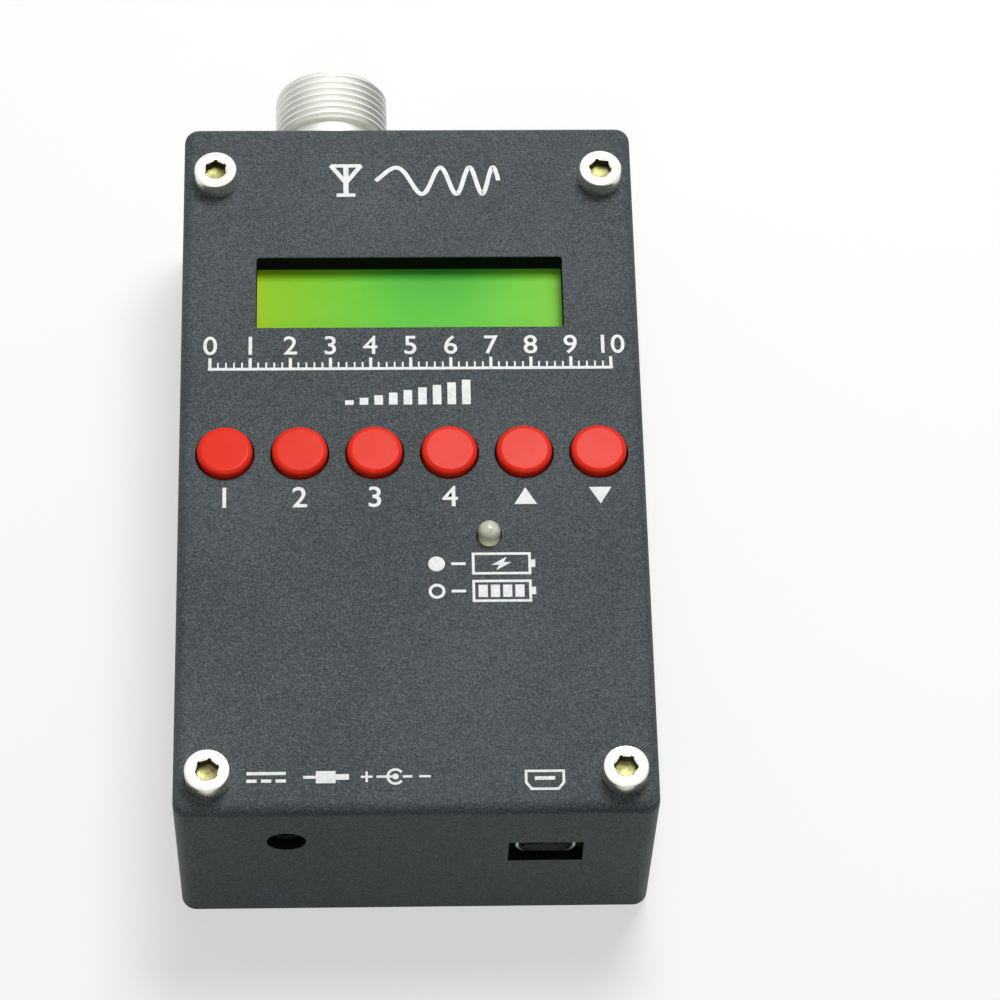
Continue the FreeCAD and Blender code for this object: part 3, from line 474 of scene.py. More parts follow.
@dataclass(frozen=True)
class MilkyResin(Finish):
    """Cast resin with a diffuser in it: light goes in, scatters and comes out soft.

    Attributes:
        depth: How deep light scatters, mm.
        scatter: How much of the light scatters.
        colour_depths: How deep red, green and blue go, as shares of the depth.
        bright: The colour of a painted bright spot, where light would focus inside the resin.
        bright_at: Middle of that spot, mm, or None without one.
        bright_reach: How far the spot reaches, mm.
        gather: Strength of the spot's painted glow, though the lamp is off.
    """

    depth: float = 0.8
    scatter: float = 0.6
    colour_depths: tuple[float, float, float] = (1.0, 1.0, 0.8)
    bright: str = "#F1F6BE"
    bright_at: tuple[float, float, float] | None = None
    bright_reach: float = 1.7
    gather: float = 0.4

    def paint(self, tree: bpy.types.NodeTree) -> bpy.types.NodeSocket:
        """Return the resin's colour, with a painted bright spot where light would focus inside."""
        plain = Finish.paint(self, tree)
        if self.bright_at is None:
            return plain
        # Painted light: a bright spot where light would focus inside the resin.
        near = self.near(tree, self.bright_at, self.bright_reach, 1.0)
        return self.blend(tree, near, plain, self.bright)

    def finish_shader(self, tree: bpy.types.NodeTree, shader: bpy.types.Node) -> None:
        """Let light scatter under the surface, and give the bright spot a painted glow, though the
        lamp is off.

        Args:
            tree: The material's node tree.
            shader: Its shader.
        """
        shader.inputs["Subsurface Weight"].default_value = self.scatter
        shader.inputs["Subsurface Radius"].default_value = self.colour_depths
        shader.inputs["Subsurface Scale"].default_value = self.depth * MM
        if self.bright_at is None:
            return
        # Painted glow: the bright spot gives light of its own, though the lamp is off.
        near = self.near(tree, self.bright_at, self.bright_reach, self.gather)
        tree.links.new(near, shader.inputs["Emission Strength"])
        shader.inputs["Emission Color"].default_value = linear(self.bright)


# Fine-textured black powder coat, sprayed and baked, drawn slate grey: the base colour is lifted
# from black to paint in the lamp's sheen on the face, with painted highlights on the grains' tops
# and painted shade between them. The grain of 0.15 mm is drawn at 0.26 mm to show.
COAT = PowderCoat(
    "black_powder_coat_with_painted_sheen_and_grain_light", "#495153", "#555D5F", patch=24.0, grain=0.26, relief=0.07,
    roughness=0.43, swing=0.04, shine=0.08, fleck="#969E9F", fleck_share=0.6, pit="#101416",
    pit_share=0.9,
)
# Painted shade on the cut walls of the window, the slot and the jack's hole: the same coat drawn
# close to black, where these walls lie in shade.
CUT_WALL_SHADE = PowderCoat(
    "painted_shade_on_cut_walls", "#060708", "#0A0B0C", patch=3.0, grain=0.3, relief=0.03,
    roughness=0.75, shine=0.05, fleck_share=0.02,
)
# White epoxy ink through a screen: flat and dense, a little thin and uneven at this scale.
INK = Finish(
    "white_screen_ink", "#F6F7F5", "#E3E6E6", patch=0.8, grain=0.25, relief=0.012, roughness=0.55,
)
# Bright nickel over steel, on drawn screw heads: a mirror that rolls and fine scratches blur.
BRIGHT_NICKEL = Finish(
    "bright_nickel_plated_steel", "#F2F0E4", "#E4E1D2", patch=2.0, grain=0.3, relief=0.003,
    roughness=0.24, swing=0.06, metallic=1.0,
)
# Painted shade with a painted olive reflection at the bottom of each key hole: a dark
# straw-coloured metal.
KEY_FLOOR_SHADE = Finish(
    "painted_shade_and_reflection_on_key_floors", "#8F8A5C", "#6E6A44", patch=0.8, grain=0.2, relief=0.006, roughness=0.42,
    metallic=1.0,
)
# Painted shade on the walls of those key holes: the plating drawn dark, where the walls lie in
# shade.
KEY_WALL_SHADE = Finish(
    "painted_shade_on_key_hole_walls", "#4B4836", "#34321F", patch=0.6, grain=0.2, relief=0.004,
    roughness=0.38, metallic=1.0,
)
# Nickel over turned brass: lathe rings under a bright, faintly warm plating.
TURNED_NICKEL = TurnedMetal(
    "nickel_plated_turned_brass", "#E6E8E2", "#DADCD4", patch=4.0, grain=0.25, relief=0.003,
    roughness=0.5, swing=0.05, metallic=1.0, axis_x=-10.7, axis_z=17.3,
)
TURNED_ALUMINIUM = TurnedMetal(
    "turned_aluminium", "#C9CBCE", "#B5B8BC", grain=0.25, relief=0.006, roughness=0.34,
    metallic=1.0,
)
# Folded and drawn tin plate: long roller marks and a soft grey shine.
TIN_PLATE = RolledSheet(
    "tin_plated_sheet", "#C4C6C6", "#AEB1B3", grain=0.08, relief=0.003, roughness=0.28,
    metallic=1.0,
)
SPRING_STEEL = RolledSheet(
    "bright_spring_steel", "#B9BBBE", "#A3A6AA", grain=0.08, relief=0.002, roughness=0.22,
    metallic=1.0,
)
# Black oxide on pressed steel: a dull near-black skin with roller marks.
BLACK_OXIDE = RolledSheet(
    "black_oxide_sheet", "#16181A", "#22252A", grain=0.12, relief=0.004, roughness=0.42,
)
SILVER_BRASS = TurnedMetal(
    "silver_plated_brass", "#E6DDBE", "#CFC39B", grain=0.2, relief=0.003, roughness=0.24,
    metallic=1.0, axis_x=-10.7, axis_z=17.3,
)
# Red ABS from a polished mould: even, saturated, with a soft broad gloss and faint flow marks.
RED_ABS = Finish(
    "moulded_red_abs", "#F4331C", "#EE2C16", patch=6.0, grain=0.7, relief=0.004, roughness=0.22,
    swing=0.02, ior=1.53, shine=0.07,
)
WHITE_ACETAL = Finish(
    "moulded_white_acetal", "#E8E7DF", "#DCDBD2", grain=0.5, relief=0.006, roughness=0.4, ior=1.48,
)
BLACK_NYLON = Finish(
    "moulded_black_nylon", "#17181A", "#222427", grain=0.3, relief=0.012, roughness=0.48, ior=1.52,
)
WHITE_NYLON = Finish(
    "moulded_natural_nylon", "#E4E0CE", "#D6D1BC", grain=0.4, relief=0.01, roughness=0.45,
    ior=1.52,
)
# Machined fluoropolymer: waxy white with faint tool rings.
FLUOROPOLYMER = TurnedMetal(
    "machined_fluoropolymer", "#F1F0E9", "#E6E5DC", grain=0.35, relief=0.008, roughness=0.4,
    ior=1.38, axis_x=-10.7, axis_z=17.3,
)
GREEN_MASK = SolderMask(
    "green_solder_mask", "#0B3A1E", "#093018", patch=9.0, grain=3.2, relief=0.03, roughness=0.3,
    coat=0.3,
)
# Frosted acrylic block that carries the light behind the panel.
LIGHT_GUIDE = MilkyResin(
    "frosted_acrylic_light_guide", "#D7F0A2", "#C9E88A", grain=0.4, relief=0.01, roughness=0.45,
    ior=1.49,
)
# Lit display glass under a matte polariser: glows by itself, with only a faint soft reflection.
LIT_GLASS = LitPanel(
    "lit_display_glass", "#63CA3C", "#7CC826", grain=0.3, relief=0.002, roughness=0.38, shine=0.1,
)
# Milky epoxy lamp, cast in a cup mould: greenish cream and glossy, with a painted bright spot
# inside that glows though the lamp is off.
MILKY_EPOXY = MilkyResin(
    "cast_milky_epoxy_with_painted_glow", "#DCDFCB", "#BFC3AE", patch=0.9, grain=0.6, relief=0.006, roughness=0.2,
    ior=1.55, bright_at=(10.0, -13.9, 30.4),
)
BLUE_SLEEVE = Finish(
    "shrunk_blue_film", "#1B4FA0", "#173F86", patch=9.0, grain=2.6, relief=0.09, roughness=0.28,
    ior=1.54,
)
GREY_FOAM = Finish(
    "closed_cell_foam", "#2B2C2E", "#37393B", grain=0.7, relief=0.16, roughness=0.9, shine=0.3,
)
RED_INSULATION = Finish(
    "extruded_red_insulation", "#B01D18", "#981612", grain=0.6, relief=0.006, roughness=0.42,
)
CHIP_EPOXY = Finish(
    "moulded_chip_epoxy", "#1D1F21", "#292B2E", grain=0.18, relief=0.014, roughness=0.62,
)
FERRITE = Finish(
    "pressed_ferrite", "#34353A", "#43454B", grain=0.25, relief=0.03, roughness=0.7,
)

NODE_FINISHES: dict[Finish, tuple[str, ...]] = {
    COAT: ("top_shell", "base_plate"),
    TURNED_ALUMINIUM: ("upper_spacers", "lower_posts", "filter_capacitors"),
    BRIGHT_NICKEL: ("rf_screws", "rf_nuts"),
    GREEN_MASK: ("main_board", "lcd_board"),
    LIGHT_GUIDE: ("lcd_backlight",),
    LIT_GLASS: ("lcd_glass",),
    BLACK_OXIDE: ("lcd_bezel",),
    WHITE_NYLON: ("lcd_supports", "battery_plug", "battery_socket"),
    BLACK_NYLON: (
        "lcd_header", "dc_jack_body", "data_socket_insert", "power_switch_case", "power_slider",
    ),
    TIN_PLATE: ("lcd_pins", "lamp_leads", "data_socket_shell", "crystal", "dc_jack_contact"),
    SPRING_STEEL: ("snap_domes", "power_switch_cover"),
    TURNED_NICKEL: ("rf_shell", "dc_jack_pin"),
    FLUOROPOLYMER: ("rf_insulator",),
    SILVER_BRASS: ("rf_centre_contact",),
    BLUE_SLEEVE: ("battery_pack",),
    GREY_FOAM: ("battery_pad",),
    RED_INSULATION: ("battery_leads",),
    CHIP_EPOXY: ("processor", "synthesizer", "charger_chip"),
    FERRITE: ("power_inductor",),
}


def dress(node: str, finish: Finish) -> None:
    """Give a node of the frame its finish.

    Args:
        node: Name of the node.
        finish: What its surface is.
    """
    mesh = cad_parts[node].data
    mesh.materials.clear()
    mesh.materials.append(finish.material())
    LOG.info("dressed %s in %s", node, finish.name)


def skin(
    mesh: bmesh.types.BMesh, rings: Sequence[Ring], closed: bool = False, slot: int = 0
) -> None:
    """Join rings of points, each as long as the next or a single point, with faces.

    Args:
        mesh: The mesh that gets the faces.
        rings: The rings, in order.
        closed: Whether the last ring joins the first.
        slot: Material slot of the faces.
    """
    made = [[mesh.verts.new(point * MM) for point in ring] for ring in rings]
    pairs = list(zip(made, made[1:] + made[:1])) if closed else list(zip(made, made[1:]))
    for first, second in pairs:
        count = max(len(first), len(second))
        for i in range(count):
            j = (i + 1) % count
            corners = [first[i % len(first)], first[j % len(first)]]
            corners += [second[j % len(second)], second[i % len(second)]]
            face = mesh.faces.new(dict.fromkeys(corners))
            face.material_index = slot


def circle(radius: float, z: float, steps: int = ROUND_STEPS) -> Ring:
    """Make a level ring of points.

    Args:
        radius: Its radius.
        z: Its height.
        steps: How many points it has.

    Returns:
        The ring, or its middle alone where the radius is nought.
    """
    if radius <= 0:
        return [Vector((0, 0, z))]
    return [Vector((radius * math.cos(t), radius * math.sin(t), z)) for t in even_turns(steps)]


def hexagon(flats: float, z: float, steps: int = ROUND_STEPS) -> Ring:
    """Make a level six-sided ring with its first corner towards +Y.

    Args:
        flats: Its width across the flats.
        z: Its height.
        steps: How many points it has.

    Returns:
        The ring.
    """
    ring = []
    for turn in even_turns(steps):
        lean = (turn - math.pi / 2) % (math.pi / 3) - math.pi / 6
        reach = flats / 2 / math.cos(lean)
        ring.append(Vector((reach * math.cos(turn), reach * math.sin(turn), z)))
    return ring


def quarter_round(radius: float, corner: Point, steps: int = 6) -> list[Point]:
    """Return a rounded outer corner's profile, from its side up to its top.

    Args:
        radius: Radius of the rounding.
        corner: Where the side and the top would meet, as radius and height.
        steps: How many straight steps it takes.

    Returns:
        Points of radius and height.
    """
    turns = [math.pi / 2 * i / steps for i in range(steps + 1)]
    middle_x, middle_y = corner[0] - radius, corner[1] - radius
    return [
        (middle_x + radius * math.cos(t), middle_y + radius * math.sin(t)) for t in turns
    ]


def make_piece(
    name: str,
    mesh: bmesh.types.BMesh,
    finishes: Sequence[Finish],
    body: str,
    replaces: Sequence[str] = (),
) -> bpy.types.Object:
    """Turn a mesh into a finished piece that rides on a body.

    Args:
        name: Name of the piece.
        mesh: Its mesh in metres, which is freed.
        finishes: Its material slots, in order.
        body: The body that it moves with.
        replaces: Nodes of the frame that it stands for.

    Returns:
        The piece.
    """
    bmesh.ops.recalc_face_normals(mesh, faces=mesh.faces)
    for face in mesh.faces:
        face.smooth = True
    for edge in mesh.edges:
        edge.smooth = len(edge.link_faces) == 2 and edge.calc_face_angle(0.0) < SHARP_EDGE
    data = bpy.data.meshes.new(name)
    mesh.to_mesh(data)
    mesh.free()
    piece = bpy.data.objects.new(name, data)
    bpy.context.scene.collection.objects.link(piece)
    for finish in finishes:
        data.materials.append(finish.material())
    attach(piece, body)
    if replaces:
        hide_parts(*replaces)
    LOG.info("built %s with %d faces on %s", name, len(data.polygons), body)
    return piece


class Marks:
    """White marks on a flat surface, as one thin raised mesh."""

    FIRST_FOOT = 0.01
    LEVEL_STEP = 0.0008
    SHARPEST_MITRE = 0.35
    ARC_STEPS = 40
    DIGIT_SHARE = 0.69
    DIGIT_WEIGHT = 0.012

    def __init__(self, thickness: float) -> None:
        """Start with no marks, of one ink thickness in millimetres."""
        self.mesh = bmesh.new()
        self.thickness = thickness
        self.sunk = self.FIRST_FOOT

    def levels(self) -> Point:
        """Return the next mark's foot and top, so that crossing marks never share a plane."""
        self.thickness += self.LEVEL_STEP
        self.sunk += self.LEVEL_STEP
        return (-self.sunk, self.thickness)

    def patch(self, corners: Sequence[Point]) -> None:
        """Fill a convex outline.

        Args:
            corners: Its corners, in order.
        """
        levels = [[self.mesh.verts.new((x, y, z)) for x, y in corners] for z in self.levels()]
        for level in levels:
            self.mesh.faces.new(level)
        count = len(corners)
        for i in range(count):
            j = (i + 1) % count
            self.mesh.faces.new((levels[0][i], levels[0][j], levels[1][j], levels[1][i]))

    def bar(self, left: float, low: float, width: float, height: float) -> None:
        """Fill a level rectangle, from its left lower corner."""
        right, high = left + width, low + height
        self.patch([(left, low), (right, low), (right, high), (left, high)])

    def disc(self, x: float, y: float, radius: float, steps: int = 32) -> None:
        """Fill a disc about its middle."""
        turns = even_turns(steps)
        self.patch([(x + radius * math.cos(t), y + radius * math.sin(t)) for t in turns])

    def stroke(self, line: Sequence[Point], width: float, closed: bool = False) -> None:
        """Draw a line of one width with mitred corners.

        Args:
            line: Its points.
            width: Width of the line.
            closed: Whether it ends where it began.
        """
        points = [Vector(point) for point in line]
        count = len(points)
        stations = []
        foot, top = self.levels()
        for i, point in enumerate(points):
            last = points[i - 1] if i or closed else None
            following = points[(i + 1) % count] if i < count - 1 or closed else None
            before = (point - last).normalized() if last else (following - point).normalized()
            after = (following - point).normalized() if following else before
            along = (before + after).normalized()
            side = Vector((-along.y, along.x))
            mitre = side.dot(Vector((-before.y, before.x)))
            reach = width / 2 / max(self.SHARPEST_MITRE, mitre)
            left, right = point + side * reach, point - side * reach
            ring = [(left, foot), (right, foot), (right, top), (left, top)]
            stations.append([self.mesh.verts.new((spot.x, spot.y, z)) for spot, z in ring])
        following = stations[1:] + stations[:1] if closed else stations[1:]
        for first, second in zip(stations, following):
            for i in range(4):
                j = (i + 1) % 4
                self.mesh.faces.new((first[i], first[j], second[j], second[i]))
        if not closed:
            self.mesh.faces.new(stations[0])
            self.mesh.faces.new(stations[-1])

    def arc(self, x: float, y: float, radius: float, turn: Point, width: float) -> None:
        """Draw part of a circle, or all of it.

        Args:
            x: Its middle.
            y: Its middle.
            radius: Its radius.
            turn: The angles that it starts and ends at, degrees.
            width: Width of the line.
        """
        swept = turn[1] - turn[0]
        whole = abs(swept) >= 360
        count = self.ARC_STEPS if whole else self.ARC_STEPS + 1
        turns = [math.radians(turn[0] + swept * i / self.ARC_STEPS) for i in range(count)]
        line = [(x + radius * math.cos(t), y + radius * math.sin(t)) for t in turns]
        self.stroke(line, width, closed=whole)

    def number(self, text: str, x: float, y: float, height: float) -> None:
        """Set a plain number.

        Args:
            text: Its digits.
            x: Middle of the number.
            y: Its foot.
            height: Height of a digit.
        """
        curve = bpy.data.curves.new("number", "FONT")
        curve.body = text
        curve.align_x = "CENTER"
        curve.size = height / self.DIGIT_SHARE
        curve.offset = height * self.DIGIT_WEIGHT
        curve.extrude = self.thickness / 2
        curve.resolution_u = 5
        holder = bpy.data.objects.new("number", curve)
        bpy.context.scene.collection.objects.link(holder)
        bpy.context.view_layer.update()
        graph = bpy.context.evaluated_depsgraph_get()
        drawn = bpy.data.meshes.new_from_object(holder.evaluated_get(graph))
        drawn.transform(Matrix.Translation((x, y, self.thickness / 2)))
        self.mesh.from_mesh(drawn)
        bpy.data.objects.remove(holder)
        bpy.data.meshes.remove(drawn)
        bpy.data.curves.remove(curve)

    def piece(self, name: str, sheet: Matrix, body: str) -> bpy.types.Object:
        """Lay the marks on a surface.

        Args:
            name: Name of the piece.
            sheet: Turns the marks' millimetres into millimetres on the object.
            body: The body that they ride on.

        Returns:
            The piece.
        """
        bmesh.ops.transform(self.mesh, matrix=Matrix.Scale(MM, 4) @ sheet, verts=self.mesh.verts)
        return make_piece(name, self.mesh, [INK], body)


class Charge(Enum):
    """What a battery pictogram says."""

    CHARGING = "charging"
    FULL = "full"


class Step(Enum):
    """Which way a stepping button counts."""

    UP = 1
    DOWN = -1


@dataclass
class CaseShell:
    """Coated box: its four socket head screws with painted shade in their key holes, the lips of
    its cut openings, and painted shade on the openings' walls.
    """

    head_radius: float = 2.9
    head_height: float = 3.0
    head_round: float = 0.28
    head_foot_edge: float = 0.12
    shank_radius: float = 1.5
    shank_point: Point = (0.2, 0.3)
    key_flats: float = 2.7
    key_depth: float = 1.6
    key_mouth_share: float = 1.17
    key_mouth_edge: Point = (0.12, 0.03)
    key_mouth_depth: float = 0.2
    key_floor_share: float = 0.46
    drill_point: float = 0.45
    key_turns: tuple[float, ...] = (0.0, 17.0, -12.0, 26.0)
    lip_radius: float = 0.12
    lip_proud: float = 0.03
    lip_steps: int = 10
    window_size: Point = (41.8, 11.3)
    window_corner: float = 0.4
    window_corner_steps: int = 4
    window_y: float = 25.05
    # The painted shade on the cut walls: how deep it begins and ends, and how thick its skin is.
    window_liner_ends: Point = (0.14, 2.85)
    near_liner_ends: Point = (0.05, 1.48)
    liner_sheet: float = 0.06
    near_wall: float = -52.4
    jack_hole_radius: float = 2.55
    slot_x: float = 16.75
    slot_z: float = 17.65
    slot_size: Point = (9.7, 5.6)
    button_hole_radius: float = 3.95
    lamp_hole_radius: float = 1.7

    def face(self) -> float:
        """Return the height of the button face, mm."""
        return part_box("top_shell")[1].z / MM

    def screw(self, mesh: bmesh.types.BMesh, x: float, y: float, turn: float) -> None:
        """Add one screw.

        Args:
            mesh: The mesh of all four.
            x: Its place.
            y: Its place.
            turn: How far its key hole is turned, degrees.
        """
        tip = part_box("case_screws")[0].z / MM - self.face()
        top, shank, head = self.head_height, self.shank_radius, self.head_radius
        foot_edge, (point_in, point_up) = self.head_foot_edge, self.shank_point
        outside = [(0, tip), (shank - point_in, tip), (shank, tip + point_up)]
        outside += [(shank, 0), (head - foot_edge, 0), (head, foot_edge)]
        outside += quarter_round(self.head_round, (head, top))
        mouth = self.key_flats / 2 * self.key_mouth_share
        mouth_top = top - self.key_mouth_edge[1]
        outside += [(mouth + self.key_mouth_edge[0], top), (mouth, mouth_top)]
        shape = [circle(radius, z) for radius, z in outside]
        floor, flats = top - self.key_depth, self.key_flats
        key = [circle(mouth, mouth_top), hexagon(flats, top - self.key_mouth_depth)]
        key += [hexagon(flats, floor), circle(flats * self.key_floor_share, floor)]
        key.append([Vector((0, 0, floor - self.drill_point))])
        start = len(mesh.verts)
        skin(mesh, shape)
        skin(mesh, key[:2])
        # The key holes' walls take slot two: painted shade.
        skin(mesh, key[1:3], slot=2)
        # The key holes' floors take slot one: painted shade with a painted olive reflection.
        skin(mesh, key[2:], slot=1)
        mesh.verts.ensure_lookup_table()
        place = Matrix.Translation(Vector((x, y, self.face())) * MM)
        turned = place @ Matrix.Rotation(math.radians(turn), 4, "Z")
        bmesh.ops.transform(mesh, matrix=turned, verts=mesh.verts[start:])

    def build_screws(self) -> None:
        """Build the four screws as one piece in place of the plain ones."""
        low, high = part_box("case_screws")
        reach = self.head_radius
        left, right = low.x / MM + reach, high.x / MM - reach
        near, far = low.y / MM + reach, high.y / MM - reach
        spots = [(left, far), (right, far), (left, near), (right, near)]
        mesh = bmesh.new()
        for (x, y), turn in zip(spots, self.key_turns):
            self.screw(mesh, x, y, turn)
        bmesh.ops.remove_doubles(mesh, verts=mesh.verts, dist=SAME_SPOT)
        # Slots one and two hold the painted shade of the key holes' floors and walls.
        finishes = [BRIGHT_NICKEL, KEY_FLOOR_SHADE, KEY_WALL_SHADE]
        make_piece("case_screw_set", mesh, finishes, "case", ["case_screws"])

    def lip(self, mesh: bmesh.types.BMesh, path: Ring) -> None:
        """Add a soft bead of coat along the edge of an opening.

        Args:
            mesh: The mesh of all the beads.
            path: The edge, as a closed line.
        """
        count = len(path)
        rings = []
        for i, point in enumerate(path):
            along = (path[(i + 1) % count] - path[i - 1]).normalized()
            side = Vector((along.y, -along.x, 0))
            middle = point + side * (self.lip_radius - self.lip_proud)
            middle.z += self.lip_proud - self.lip_radius
            ring = []
            for turn in even_turns(self.lip_steps):
                out = side * (self.lip_radius * math.cos(turn))
                ring.append(middle + out + Vector((0, 0, self.lip_radius * math.sin(turn))))
            rings.append(ring)
        skin(mesh, rings, closed=True)

    def window_path(self) -> Ring:
        """Return the window's edge as a closed line with rounded corners."""
        half_x, half_y = self.window_size[0] / 2, self.window_size[1] / 2
        path = []
        steps = self.window_corner_steps
        for quarter, (sx, sy) in enumerate([(1, 1), (-1, 1), (-1, -1), (1, -1)]):
            x = sx * (half_x - self.window_corner)
            y = self.window_y + sy * (half_y - self.window_corner)
            for k in range(steps + 1):
                turn = math.pi / 2 * (quarter + k / steps)
                spot = Vector((x + self.window_corner * math.cos(turn), 0, self.face()))
                spot.y = y + self.window_corner * math.sin(turn)
                path.append(spot)
        return path

    def build_lips(self) -> None:
        """Build the beads of coat round the window, the buttons' holes and the lamp's hole."""
        mesh = bmesh.new()
        self.lip(mesh, self.window_path())
        holes = [("button_cap_%d" % i, self.button_hole_radius) for i in range(1, 7)]
        holes.append(("status_lamp", self.lamp_hole_radius))
        for node, radius in holes:
            middle = middle_of(node)
            middle.z = 0
            self.lip(mesh, [middle + point for point in circle(radius, self.face())])
        make_piece("opening_lips", mesh, [COAT], "case")

    def sleeve(self, mesh: bmesh.types.BMesh, path: Ring, way: Vector, ends: Point) -> None:
        """Add a thin sleeve inside an opening.

        Args:
            mesh: The mesh that gets the sleeve.
            path: The opening's edge.
            way: The direction into the opening.
            ends: How deep the sleeve begins and ends.
        """
        middle = sum(path, Vector()) / len(path)
        half = Vector([max(abs((point - middle)[k]) for point in path) for k in range(3)])
        rings = []
        sheet = self.liner_sheet
        for inset, level in ((0, ends[0]), (0, ends[1]), (sheet, ends[1]), (sheet, ends[0])):
            grow = Vector([1 - inset / reach if reach > inset else 1.0 for reach in half])
            rings.append([middle + (point - middle) * grow + way * level for point in path])
        skin(mesh, rings, closed=True)

    def build_liners(self) -> None:
        """Build the painted shade: near-black skins on the cut walls of the window, the slot and
        the jack's hole.
        """
        mesh = bmesh.new()
        self.sleeve(mesh, self.window_path(), Vector((0, 0, -1)), self.window_liner_ends)
        jack = middle_of("dc_jack_pin")
        jack.y = self.near_wall
        out = self.jack_hole_radius
        turns = even_turns(ROUND_STEPS)
        hole = [jack + Vector((out * math.cos(t), 0, out * math.sin(t))) for t in turns]
        centre = Vector((self.slot_x, self.near_wall, self.slot_z))
        half_x, half_z = self.slot_size[0] / 2, self.slot_size[1] / 2
        corners = [(-1, -1), (1, -1), (1, 1), (-1, 1)]
        slot = [centre + Vector((sx * half_x, 0, sz * half_z)) for sx, sz in corners]
        for path in (hole, slot):
            self.sleeve(mesh, path, Vector((0, 1, 0)), self.near_liner_ends)
        make_piece("painted_shade_liners", mesh, [CUT_WALL_SHADE], "case")

    def build(self) -> None:
        """Build the screws, the lips and the painted shade on the cut walls."""
        self.build_screws()
        self.build_lips()
        self.build_liners()


@dataclass
class FacePrint:
    """White marks on the button face: a swept wave, a scale, numerals and plain symbols."""

    thickness: float = 0.03
    thin: float = 0.34
    wave_line: float = 0.62
    aerial_foot: Point = (-8.6, 40.6)
    aerial_height: float = 5.2
    aerial_mast: float = 0.72
    aerial_reach: float = 2.1
    aerial_drop: float = 2.9
    aerial_base: float = 2.6
    aerial_bar: float = 0.55
    aerial_cap_drop: float = 0.35
    wave_start: float = -4.5
    wave_length: float = 17.0
    wave_swing: float = 2.2
    wave_cycles: Point = (1.1, 2.4)
    wave_steps: int = 150
    scale_foot: float = 12.7
    scale_pitch: float = 5.4
    scale_count: int = 10
    scale_parts: int = 5
    scale_line: float = 0.42
    scale_overhang: float = 0.25
    long_tick: float = 1.5
    short_tick: float = 0.8
    short_tick_line: float = 0.24
    numeral_rise: float = 2.5
    numeral_height: float = 2.8
    level_count: int = 9
    level_bar: float = 1.15
    level_pitch: float = 1.96
    level_middle: Point = (-0.45, 7.25)
    level_heights: Point = (0.7, 3.8)
    button_mark_foot: float = -8.35
    button_mark_height: float = 3.0
    arrow_share: float = 0.42
    lamp_rows: Point = (-17.0, -21.05)
    lamp_mark_x: tuple[float, float, float] = (3.0, 4.9, 11.5)
    lamp_mark_radii: Point = (1.1, 0.9)
    dash: Point = (1.9, 0.4)
    battery_size: Point = (7.4, 2.9)
    battery_wall: float = 0.36
    battery_pole: Point = (0.55, 1.1)
    cell: Point = (1.2, 1.8)
    cell_inset: float = 0.62
    cell_pitch: float = 1.6
    bolt: tuple[Point, ...] = ((0.7, 1.0), (-1.3, -0.2), (0.1, -0.2))
    power_y: float = -47.6
    power_bars: tuple[tuple[float, ...], ...] = (
        # direct current: a line over three dashes
        (-21.6, 0.35, 5.0, 0.45), (-21.6, -0.7, 1.3, 0.45), (-19.75, -0.7, 1.3, 0.45),
        (-17.9, -0.7, 1.3, 0.45),
        # the plug: its cable, body and barrel
        (-14.4, -0.2, 1.6, 0.4), (-12.8, -0.85, 2.5, 1.7), (-10.3, -0.4, 1.7, 0.8),
        # plus, and the line from it to the cup
        (-7.1, -0.15, 1.5, 0.3), (-6.5, -0.75, 0.3, 1.5), (-5.1, -0.16, 2.1, 0.32),
    )
    contact_bars: tuple[tuple[float, ...], ...] = (
        # the line from the contact, and minus
        (-1.75, -0.16, 1.2, 0.32), (0.3, -0.15, 1.5, 0.3),
    )
    cup_x: float = -2.7
    cup_radius: float = 0.98
    cup_turn: Point = (38, 322)
    contact_radius: float = 0.42
    port_middle: Point = (16.3, -49.5)
    port_size: Point = (4.8, 2.5)
    port_foot: Point = (3.4, 0.9)
    tongue: tuple[float, float, float] = (2.6, 0.5, 1.25)

    def sweep_and_antenna(self, marks: Marks) -> None:
        """Draw an aerial and a wave that quickens, above the window.

        Args:
            marks: The marks that they join.
        """
        (x, foot), reach, bar = self.aerial_foot, self.aerial_reach, self.aerial_bar
        top = foot + self.aerial_height
        marks.stroke([(x, foot), (x, top)], self.aerial_mast)
        for side in (-1, 1):
            marks.stroke([(x + side * reach, top), (x, top - self.aerial_drop)], self.wave_line)
        marks.bar(x - reach, top - self.aerial_cap_drop, 2 * reach, bar)
        marks.bar(x - self.aerial_base / 2, foot, self.aerial_base, bar)
        middle = foot + self.aerial_height / 2
        slow, quick = self.wave_cycles
        wave = []
        for i in range(self.wave_steps + 1):
            share = i / self.wave_steps
            swing = math.sin(2 * math.pi * (slow * share + quick * share**2))
            spot = self.wave_start + self.wave_length * share
            wave.append((spot, middle + self.wave_swing * swing))
        marks.stroke(wave, self.wave_line)

    def scale(self, marks: Marks) -> None:
        """Draw a scale from nought to ten with its numerals, under the window.

        Args:
            marks: The marks that they join.
        """
        pitch, foot, line = self.scale_pitch, self.scale_foot, self.scale_line
        half = pitch * self.scale_count / 2
        marks.bar(-half - self.scale_overhang, foot, 2 * half + 2 * self.scale_overhang, line)
        for i in range(self.scale_count * self.scale_parts + 1):
            tall, width = self.short_tick, self.short_tick_line
            if i % self.scale_parts == 0:
                tall, width = self.long_tick, line
            marks.bar(-half + i * pitch / self.scale_parts - width / 2, foot + line, width, tall)
        for i in range(self.scale_count + 1):
            marks.number(str(i), -half + i * pitch, foot + self.numeral_rise, self.numeral_height)

    def level_bars(self, marks: Marks) -> None:
        """Draw a row of rising bars, under the scale.

        Args:
            marks: The marks that they join.
        """
        gaps = self.level_count - 1
        (middle, foot), (low, high) = self.level_middle, self.level_heights
        left = middle - (self.level_pitch * gaps + self.level_bar) / 2
        for i in range(self.level_count):
            tall = low + (high - low) * i / gaps
            marks.bar(left + i * self.level_pitch, foot, self.level_bar, tall)

